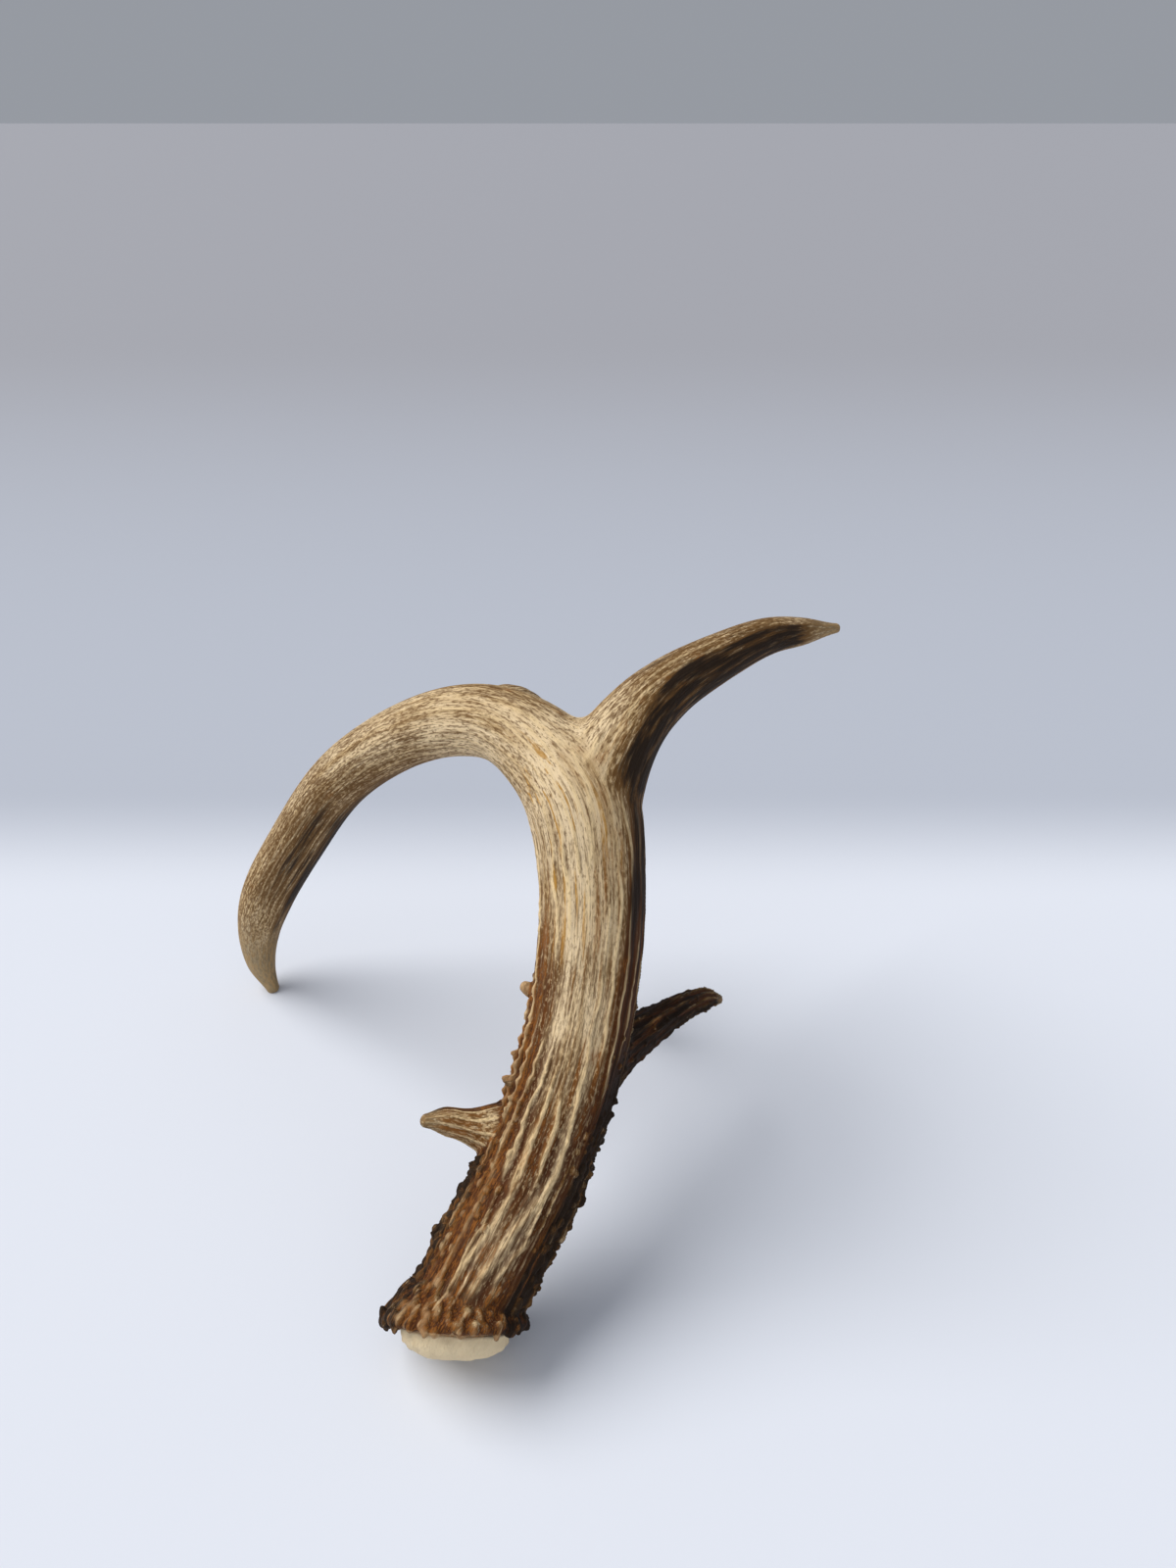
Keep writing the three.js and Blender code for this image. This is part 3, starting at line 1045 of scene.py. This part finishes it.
def rust(skin, points):
    """How much the stain turns to rust red, 0 to 1: on the lit side of the base."""
    beam = skin.beam
    along = beam.along / MM
    edge = np.interp(along, [55, 105, 150], [0.35, 0.62, 0.72])
    left = side(beam.out, (-1, -0.1, 0.35), edge, 0.62 + 0.38 * edge)
    low = np.interp(along, [0, 20, 45, 110, 150], [1.0, 0.62, 0.42, 0.25, 0])
    red = np.maximum(low, left * np.interp(along, [0, 60, 110, 150, 200], [1, 0.9, 0.5, 0.1, 0]))
    front = side(beam.out, FRONT, 0.6, 0.98)
    red *= 1 - front * np.interp(along, [5, 25], [0, 0.6])
    streaky = cloud(beam.straight, (3.2 * MM, 3.2 * MM, 26 * MM), 23)
    red *= np.clip(0.85 + 1.1 * streaky, 0.1, 1)
    from_knob = np.linalg.norm(points - np.array(LONE_KNOBS[0][:3]), axis=1)
    red = np.maximum(red, np.exp(-(from_knob / BLUSH) ** 2))
    red *= 1 - 0.7 * side(beam.out, STAINED_AND_SHADED_SIDE, 0.35, 0.85)
    red *= 1 - 0.8 * skin.share["kicker"]
    return np.clip(red + 0.35 * cloud(points, 7 * MM, 15), 0, 1)


# ---- Growing the skin ----------------------------------------------------------------------

ROUGH_STEP = 1.6  # point spacing of the first skin, in those of the finished one
SMOOTHING = 2  # rounds in which the first skin's points are drawn onto the limbs
SETTLING = -0.35 * MM  # lowers the rugged bone, so that its relief rises from a lower ground
RELIEF_RANGE = (-1.5 * MM, 2.5 * MM)


def grow_skin(form, bone):
    """The whole antler's skin, with what the bone's colours need stored on its points."""
    tree = limb_tree()
    limbs = [swept(tree, limb.rings(), bone) for limb in (BEAM, *TINES.values())]
    rough = fused(joined([*limbs, swept(tree, burr_rings(), bone)]), ROUGH_STEP * form.voxel)
    points = read_points(rough)
    for _ in range(SMOOTHING):
        skin = Skin(points)
        points -= skin.out * (skin.height * skin.free)[:, None]
    write_points(rough, points)
    skin = Skin(points)
    host = new_object("pearl_host", rough)
    tree = pearl_tree()
    write_values(rough, "pearling", pearling(skin, points))
    size = np.interp(skin.beam.along / MM, [0, 40, 100, 130], [1.0, 0.95, 0.62, 0.45])
    write_values(rough, "pearl_size", size)
    write_values(rough, "flow", flow(skin))
    pearls = grown(host, tree, {
        "Spacing": form.pearl_spacing,
        "Size": form.pearl_size,
        "Seed": form.seed,
        "Bone": bone,
    })
    crowd, size = fingering(skin)
    write_values(rough, "pearling", crowd)
    write_values(rough, "pearl_size", size)
    fingers = grown(host, tree, {
        "Spacing": form.finger_spacing,
        "Size": form.finger_size,
        "Least": 0.8,
        "Stretch": 2.7,
        "Seed": form.seed + 1,
        "Bone": bone,
    })
    bpy.data.objects.remove(host)
    parts = [rough, pearls, fingers, burr_knobs(form, bone), *lone_knobs(bone)]
    mesh = fused(joined(parts), form.voxel)
    return finished_skin(mesh, form)


def flow(skin):
    """The direction of the grain; over the burr it runs up its own axis."""
    nearest = np.clip(np.round(skin.beam.along / SAMPLE_STEP), 0, len(BEAM.tangent) - 1)
    on_beam = BEAM.tangent[nearest.astype(int)] * skin.free[:, None]
    return on_beam + np.outer(1 - skin.free, BURR_AXIS)


# what the bone's colours need at each point
BONE_VALUES = (
    "relief", "stain", "rust", "rugged", "bold", "fine", "polish", "crest", "seal", "amber",
    "tine_share", "grain", "tine_grain",
)


def finished_skin(mesh, form):
    """Raises the relief, flattens what rests on the floor and stores the points' values."""
    points = read_points(mesh)
    skin = Skin(points)
    plain = skin.free * (1 - smooth_step(skin.height, 0.15 * MM, 0.5 * MM))
    points -= skin.out * (skin.height * plain)[:, None]
    known = surface(points, form)
    skin = known["skin"]
    raised = known["raised"] * (1 - known["on_foot"])
    settle = SETTLING * known["rugged"] * (1 - known["on_foot"])
    points += skin.out * (raised + settle)[:, None]
    dents = cloud(points, 5 * MM, 12) * 0.35 * MM
    dents += cloud(points, 1.8 * MM, 13) * 0.12 * MM
    dents *= known["seal"]
    points += skin.foot_out * dents[:, None]
    points -= np.outer(dents * 1.2, BURR_AXIS)
    least, most = np.array(CAD_BOX) + BOX_MARGIN * np.array([(1, 1, 0), (-1, -1, -1)])
    points = np.clip(points, least, most)
    write_points(mesh, points)

    on_foot = known["on_foot"]
    height = skin.height * (1 - plain) * (1 - on_foot) + skin.over_foot * on_foot
    height = np.clip(height, *RELIEF_RANGE)
    known["relief"] = (height + raised) / MM
    known["stain"] = stain(skin, points)
    known["rust"] = rust(skin, points)
    known["amber"] = amber(skin)
    for name in BONE_VALUES:
        write_values(mesh, name, known[name])
    write_values(mesh, "piece", piece_of(skin))
    return mesh


def amber(skin):
    """Where thin amber streaks show, 0 to 1."""
    along = skin.beam.along / MM
    inner = side(skin.beam.out, (-0.6, -0.72, 0.35), 0.70, 0.95)
    outer = side(skin.beam.out, (0.45, -0.75, 0.45), 0.88, 0.99)
    inner *= np.interp(along, [120, 150, 205, 225], [0, 1, 1, 0])
    outer *= np.interp(along, [160, 175, 195, 205], [0, 0.7, 0.7, 0])
    return np.maximum(inner, outer) * (1 - skin.share["second_tine"])


PIECES = ("lower_beam", "brow_tine", "second_tine", "beam_end", "third_tine")


def piece_of(skin):
    """The number of the piece that each point belongs to."""
    piece = np.where(skin.beam.along < FORK_ALONG, 0, PIECES.index("beam_end"))
    for name in ("brow_tine", "second_tine", "third_tine"):
        piece[skin.share[name] > 0.5] = PIECES.index(name)
    return piece.astype(float)


# ---- Parting the skin ----------------------------------------------------------------------

def face_pieces(faces, piece):
    """Each face's piece, the one that most of its corners are in."""
    votes = np.zeros((len(faces), len(PIECES)))
    for corner in range(4):
        inside = faces[:, corner] >= 0
        np.add.at(votes, (np.nonzero(inside)[0], piece[faces[inside, corner]]), 1)
    return votes.argmax(1)


def border_loops(faces):
    """Closed loops of the edges that only one face has, in the order that a cap needs."""
    after = np.roll(faces, -1, axis=1)
    triangle = faces[:, 3] < 0
    after[triangle, 2] = faces[triangle, 0]
    inside = faces >= 0
    starts = faces[inside]
    ends = after[inside]
    ways = set(zip(starts.tolist(), ends.tolist()))
    following = {}
    for start, finish in ways:
        if (finish, start) not in ways:
            following.setdefault(finish, []).append(start)
    loops = []
    while following:
        first = next(iter(following))
        loop = [first]
        spot = first
        while True:
            spot_next = following[spot].pop()
            if not following[spot]:
                del following[spot]
            spot = spot_next
            if spot == first:
                break
            loop.append(spot)
        loops.append(loop)
    return loops


def part_off(skin_mesh, name, bone):
    """One piece of the skin as a closed mesh of its own, shaded as the whole skin is."""
    faces = read_faces(skin_mesh)
    piece = read_values(skin_mesh, "piece").round().astype(int)
    mine = faces[face_pieces(faces, piece) == PIECES.index(name)]
    loops = border_loops(mine)
    points = read_points(skin_mesh)
    normals = np.empty(len(points) * 3, np.float32)
    skin_mesh.vertex_normals.foreach_get("vector", normals)
    normals = normals.reshape(-1, 3)
    used = np.unique(mine[mine >= 0])
    renumbered = np.full(len(points), -1)
    renumbered[used] = np.arange(len(used))
    rows = [[renumbered[c] for c in face if c >= 0] for face in mine.tolist()]
    middles = []
    for loop in loops:
        centre = len(used) + len(middles)
        middles.append(points[loop].mean(0))
        around = renumbered[loop]
        rows += [[a, b, centre] for a, b in zip(around, np.roll(around, -1))]
    all_points = np.vstack([points[used], *middles]) if middles else points[used]
    mesh = new_mesh(name, all_points.tolist(), rows)
    for label in BONE_VALUES:
        values = read_values(skin_mesh, label)[used]
        blank = np.zeros((len(middles), *values.shape[1:]))
        write_values(mesh, label, np.concatenate([values, blank]))
    mesh.shade_smooth()
    caps = np.tile((0, 0, 1), (len(middles), 1)).reshape(-1, 3)
    mesh.normals_split_custom_set_from_vertices(np.vstack([normals[used], caps]).tolist())
    mesh.materials.append(bone)
    return mesh


# ---- Bone ----------------------------------------------------------------------------------

def grain_group():
    """Patterns along the grain from a place in the straightened limb: broad bands, streaks,
    fine threads and specks, each about 0 to 1."""
    # name: frequency across and along in 1/m, detail, roughness
    patterns = {
        "Bands": (110.0, 8.0, 3.0, 0.6),
        "Streaks": (420.0, 15.0, 4.0, 0.65),
        "Threads": (1050.0, 62.0, 3.0, 0.62),
        "Specks": (1500.0, 430.0, 2.0, 0.6),
    }
    outputs = dict.fromkeys(patterns, "Float")
    inputs = {"Place": ("Vector", None)}
    tree, start, end = new_group("Bone grain", "ShaderNodeTree", inputs, outputs)
    for name, (across, along, detail, roughness) in patterns.items():
        inputs = {0: start.outputs["Place"], 1: (across, across, along)}
        scaled = node(tree, "ShaderNodeVectorMath", inputs, operation="MULTIPLY").outputs[0]
        inputs = {"Vector": scaled, "Scale": 1.0, "Detail": detail, "Roughness": roughness}
        pattern = node(tree, "ShaderNodeTexNoise", inputs).outputs["Fac"]
        tree.links.new(pattern, end.inputs[name])
    return tree


def bone_material(colours):
    """Antler bone: pale with brown streaks, stained in its grooves, bare on its crests."""
    material = bpy.data.materials.new("Antler bone")
    material.use_nodes = True
    tree = material.node_tree
    tree.nodes.clear()

    def stored(name, output="Fac"):
        return node(tree, "ShaderNodeAttribute", attribute_name=name).outputs[output]

    grain = grain_group()
    first = node(tree, "ShaderNodeGroup", node_tree=grain)
    second = node(tree, "ShaderNodeGroup", node_tree=grain)
    tree.links.new(stored("grain", "Vector"), first.inputs[0])
    tree.links.new(stored("tine_grain", "Vector"), second.inputs[0])
    tine_share = stored("tine_share")

    def pattern(name):
        inputs = {0: tine_share, 2: first.outputs[name], 3: second.outputs[name]}
        return node(tree, "ShaderNodeMix", inputs, data_type="FLOAT").outputs[0]

    bands, streaks, threads, specks = map(pattern, ("Bands", "Streaks", "Threads", "Specks"))
    # the stain value holds the bone's stain together with painted shade on its darker sides and
    # painted light on the beam's front
    stained = stored("stain")
    height = stored("relief")
    rugged = stored("rugged")
    bold = stored("bold")
    fine = stored("fine")

    def step(*numbers):
        return ramp(tree, *numbers)

    def plus(value, share, other):
        """A share of a value added to another."""
        return maths(tree, "MULTIPLY_ADD", value, share, other)

    def both(*values):
        product = values[0]
        for value in values[1:]:
            product = maths(tree, "MULTIPLY", product, value)
        return product

    def coat(share, *layers):
        """A share of one layer over another; a layer is a socket or one of the colours."""
        sockets = bpy.types.NodeSocket
        layers = [layer if isinstance(layer, sockets) else paint(layer) for layer in layers]
        return tint(tree, share, *layers)

    # pale bone, in broad bands of bleached and tan
    tanned = step(plus(stained, 0.42, bands), 0.42, 0.70)
    colour = coat(tanned, colours.bleached, colours.tan)
    # rust over the lit side of the base, uneven along the grain
    rusted = step(plus(stored("rust"), 0.9, bands), 0.62, 1.15)
    colour = coat(both(rusted, 0.96), colour, colours.rust)
    # brown lines between the ribs and brown streaks, more and wider the deeper the stain
    lines = step(plus(streaks, -0.9, fine), -0.12, -0.46)
    calm = step(rugged, 0.05, 0.4, 0.45, 1.0)
    lines = both(lines, step(stained, 0.02, 0.5, 0.25, 0.85), calm)
    colour = coat(lines, colour, colours.brown)
    reach = plus(stained, 0.34, streaks)
    streaked = both(step(reach, 0.56, 0.72), 0.88, calm)
    colour = coat(streaked, colour, colours.brown)
    reach = plus(stained, 0.16, threads)
    colour = coat(both(step(reach, 0.53, 0.64), 0.6), colour, colours.brown)
    # ochre streaks on the lower beam
    golden = step(plus(bands, 0.7, streaks), 0.85, 1.02)
    golden = both(golden, step(rugged, 0.12, 0.4), step(stained, 0.9, 0.6), 0.7)
    colour = coat(golden, colour, colours.ochre)
    # pale threads
    pale = both(step(threads, 0.46, 0.36), step(rusted, 0.0, 1.0, 0.6, 0.2))
    colour = coat(pale, colour, colours.bleached)
    # brown stipple, drawn out along the grain
    stipple = step(plus(stained, 0.3, specks), 0.54, 0.68)
    stipple = both(stipple, step(rugged, 0.1, 0.5, 0.72, 0.45))
    colour = coat(stipple, colour, colours.brown)
    # amber streaks
    thin = step(streaks, 0.56, 0.62)
    colour = coat(both(thin, stored("amber")), colour, colours.amber)
    # grooves and crests
    groove = plus(stored("rust"), -0.28, height)
    groove = step(plus(threads, 0.5, groove), 1.15, 0.30)
    groove = both(groove, step(both(stained, rugged), 0.04, 0.36), 0.94)
    colour = coat(groove, colour, colours.mahogany)
    flecks = plus(threads, 0.6, specks)
    flecks = both(step(flecks, 0.76, 0.92), step(rusted, 0.0, 0.6), 0.6)
    colour = coat(flecks, colour, colours.ochre)
    bare = plus(stored("rust"), -0.22, bold)
    bare = step(plus(threads, 0.6, bare), 0.80, 1.10)
    proud = both(step(height, 0.95, 1.9), 0.8)
    bare = maths(tree, "MAXIMUM", bare, proud)
    bare = both(bare, step(stained, 1.0, 0.6), step(rugged, 0.0, 0.3, 0.35, 0.9))
    worn = coat(both(stored("rust"), 0.62), colours.cream, colours.rust)
    worn = coat(both(stipple, 0.6), worn, colours.brown)
    colour = coat(bare, colour, worn)
    # the deepest stain covers all but the highest crests; where the stain value holds painted
    # shade, this darkest brown is painted shade too
    deepest_stain_and_shade = step(plus(streaks, 1.8, stained), 1.50, 1.95)
    colour = coat(both(deepest_stain_and_shade, 0.95), colour, colours.umber_stain_and_shade)
    # pale specks over all, then the tips and the seal
    pale_specks = both(step(specks, 0.46, 0.36), step(stained, 0.7, 0.2), 0.4)
    pale_specks = both(pale_specks, step(rusted, 0.0, 1.0, 1.0, 0.3))
    colour = coat(pale_specks, colour, colours.cream)
    tip = both(stored("polish"), 0.85)
    tip_colour = coat(step(threads, 0.4, 0.62), colours.tip, colours.tan)
    colour = coat(tip, colour, tip_colour)
    crest = both(stored("crest"), step(threads, 0.68, 0.46), 0.9)
    colour = coat(crest, colour, worn)
    clean = coat(step(bands, 0.45, 0.7), colours.seal, colours.bleached)
    colour = coat(stored("seal"), colour, clean)

    rough = step(plus(tip, 0.4, bare), 0.0, 1.0, 0.62, 0.42)
    rough = plus(threads, 0.16, rough)
    texture = plus(streaks, 1.1, both(threads, 0.8))
    texture = plus(specks, 0.45, texture)
    texture = plus(threads, both(rugged, 0.9), texture)
    texture = both(texture, plus(tip, -0.7, 1.0))
    bump = node(tree, "ShaderNodeBump", {"Strength": 0.75, "Distance": 0.0008, "Height": texture})
    shader = node(tree, "ShaderNodeBsdfPrincipled", {
        "Base Color": colour,
        "Roughness": rough,
        "Normal": bump.outputs[0],
        "Specular IOR Level": 0.13,
    })
    output = node(tree, "ShaderNodeOutputMaterial", {"Surface": shader.outputs[0]})
    output.is_active_output = True
    return material


def bone():
    return bpy.data.materials.get("Antler bone") or bone_material(bpy.context.scene.antler_colours)


# ---- Operators -----------------------------------------------------------------------------

SKIN_NAME = "whole_skin"


def seat(name):
    """Parts a piece off the skin and sets it in the frame in place of its solid."""
    skin = bpy.data.objects.get(SKIN_NAME)
    if skin is None:
        raise RuntimeError("grow the skin first")
    piece = new_object(name + "_bone", part_off(skin.data, name, bone()))
    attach(piece, "root")
    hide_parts(name)
    return piece


class ANTLER_OT_skin(bpy.types.Operator):
    """Grow the skin of the whole antler, to be parted into pieces"""

    bl_idname = "antler.skin"
    bl_label = "Grow skin"

    def execute(self, context):
        mesh = grow_skin(context.scene.antler_form, bone())
        skin = new_object(SKIN_NAME, mesh)
        skin.hide_render = True
        return {"FINISHED"}


class ANTLER_OT_lower_beam(bpy.types.Operator):
    """Make the lower beam with its burr, seal and kicker point"""

    bl_idname = "antler.lower_beam"
    bl_label = "Lower beam"

    def execute(self, context):
        seat("lower_beam")
        return {"FINISHED"}


class ANTLER_OT_tines(bpy.types.Operator):
    """Make the brow tine, the second tine and the third tine"""

    bl_idname = "antler.tines"
    bl_label = "Tines"

    def execute(self, context):
        seat("brow_tine")
        seat("second_tine")
        seat("third_tine")
        return {"FINISHED"}


class ANTLER_OT_beam_end(bpy.types.Operator):
    """Make the end of the main beam, from the main fork to its tip"""

    bl_idname = "antler.beam_end"
    bl_label = "Beam end"

    def execute(self, context):
        seat("beam_end")
        return {"FINISHED"}


class ANTLER_OT_clear_skin(bpy.types.Operator):
    """Remove the whole skin once it is parted"""

    bl_idname = "antler.clear_skin"
    bl_label = "Clear skin"

    def execute(self, context):
        bpy.data.objects.remove(bpy.data.objects[SKIN_NAME])
        return {"FINISHED"}


FLOOR_REACH = 30.0
# The paper's darkening behind the antler is painted shade for a backdrop that gets less light.
HORIZON = (0.255, 0.378)  # distance behind the antler's foot over which the paper turns darker
FAR_FALL = (0.38, 2.05)  # distance over which the far paper darkens further, to the sky's grey
TO_KEY_LIGHT = Vector((-0.61, 0.10, 0.79))
TO_FILL_LIGHT = Vector((0.0, -0.78, 0.62))
FILL_SOFTNESS = math.radians(110)
CAMERA_PLACE = Vector((0.0436, -0.2744, 0.38))
CAMERA_PITCH = 30.0  # degrees below the horizon
CAMERA_NEAR = 0.01  # distance from which on the camera sees things
LAMP_COLOUR = (1.0, 0.985, 0.96)
SKY_COLOUR = (0.85, 0.90, 1.0)


def floor_material(studio):
    material = bpy.data.materials.new("Studio paper")
    material.use_nodes = True
    tree = material.node_tree
    shader = tree.nodes["Principled BSDF"]
    place = node(tree, "ShaderNodeTexCoord").outputs["Object"]
    split = node(tree, "ShaderNodeSeparateXYZ", {0: place})
    # painted shade: the paper is painted darker behind the antler and toward the horizon
    far = ramp(tree, split.outputs[1], *HORIZON)
    farther = ramp(tree, split.outputs[1], *FAR_FALL)
    dim = tint(tree, farther, paint(studio.far_floor_painted_shade), paint(studio.end_floor_painted_shade))
    colour = tint(tree, far, paint(studio.floor), dim)
    tree.links.new(colour, shader.inputs["Base Color"])
    shader.inputs["Roughness"].default_value = 0.75
    shader.inputs["Specular IOR Level"].default_value = 0.2
    return material


def set_light(name, direction, strength, softness):
    """A distant light that fills an angle of the sky around a direction."""
    lamp = bpy.data.lights.new(name, "SUN")
    lamp.energy = strength
    lamp.angle = softness
    lamp.color = LAMP_COLOUR
    light = bpy.data.objects.new(name, lamp)
    light.rotation_euler = direction.to_track_quat("Z", "Y").to_euler()
    bpy.context.scene.collection.objects.link(light)


class ANTLER_OT_studio(bpy.types.Operator):
    """Set the floor, the light and the camera"""

    bl_idname = "antler.studio"
    bl_label = "Studio"

    def execute(self, context):
        scene = context.scene
        studio = scene.antler_studio
        corners = [(-1, -1), (1, -1), (1, 1), (-1, 1)]
        points = [(x * FLOOR_REACH, y * FLOOR_REACH, 0) for x, y in corners]
        floor = new_object("studio_floor", new_mesh("studio_floor", points, [(0, 1, 2, 3)]))
        floor.data.materials.append(floor_material(studio))

        set_light("key_light", TO_KEY_LIGHT, studio.key_strength, studio.key_softness)
        set_light("fill_light", TO_FILL_LIGHT, studio.fill_strength, FILL_SOFTNESS)

        world = bpy.data.worlds.new("Studio sky")
        world.use_nodes = True
        sky = world.node_tree.nodes["Background"]
        sky.inputs["Color"].default_value = paint(SKY_COLOUR)
        sky.inputs["Strength"].default_value = studio.sky_strength
        scene.world = world

        lens = bpy.data.cameras.new("camera")
        lens.lens = studio.lens
        camera = bpy.data.objects.new("camera", lens)
        camera.location = CAMERA_PLACE
        camera.rotation_euler = (math.radians(90 - CAMERA_PITCH), 0, 0)
        lens.clip_start = CAMERA_NEAR
        scene.collection.objects.link(camera)
        scene.camera = camera
        scene.view_settings.view_transform = "Standard"
        return {"FINISHED"}


class ANTLER_PT_panel(bpy.types.Panel):
    """Lists the steps that make the antler"""

    bl_label = "Deer antler"
    bl_idname = "ANTLER_PT_panel"
    bl_space_type = "VIEW_3D"
    bl_region_type = "UI"
    bl_category = "Antler"

    def draw(self, context):
        for operator in OPERATORS:
            self.layout.operator(operator.bl_idname)
        for name, group in SETTINGS.items():
            box = self.layout.box()
            for field in group.__annotations__:
                box.prop(getattr(context.scene, name), field)


OPERATORS = (
    ANTLER_OT_studio,
    ANTLER_OT_skin,
    ANTLER_OT_lower_beam,
    ANTLER_OT_tines,
    ANTLER_OT_beam_end,
    ANTLER_OT_clear_skin,
)
CLASSES = (*SETTINGS.values(), *OPERATORS, ANTLER_PT_panel)


def register():
    for cls in CLASSES:
        bpy.utils.register_class(cls)
    for name, group in SETTINGS.items():
        setattr(bpy.types.Scene, name, PointerProperty(type=group))


def unregister():
    for name in SETTINGS:
        delattr(bpy.types.Scene, name)
    for cls in reversed(CLASSES):
        bpy.utils.unregister_class(cls)


def main():
    register()
    bpy.ops.antler.studio()
    bpy.ops.antler.skin()
    bpy.ops.antler.lower_beam()
    bpy.ops.antler.tines()
    bpy.ops.antler.beam_end()
    bpy.ops.antler.clear_skin()


if __name__ == "__main__":
    main()
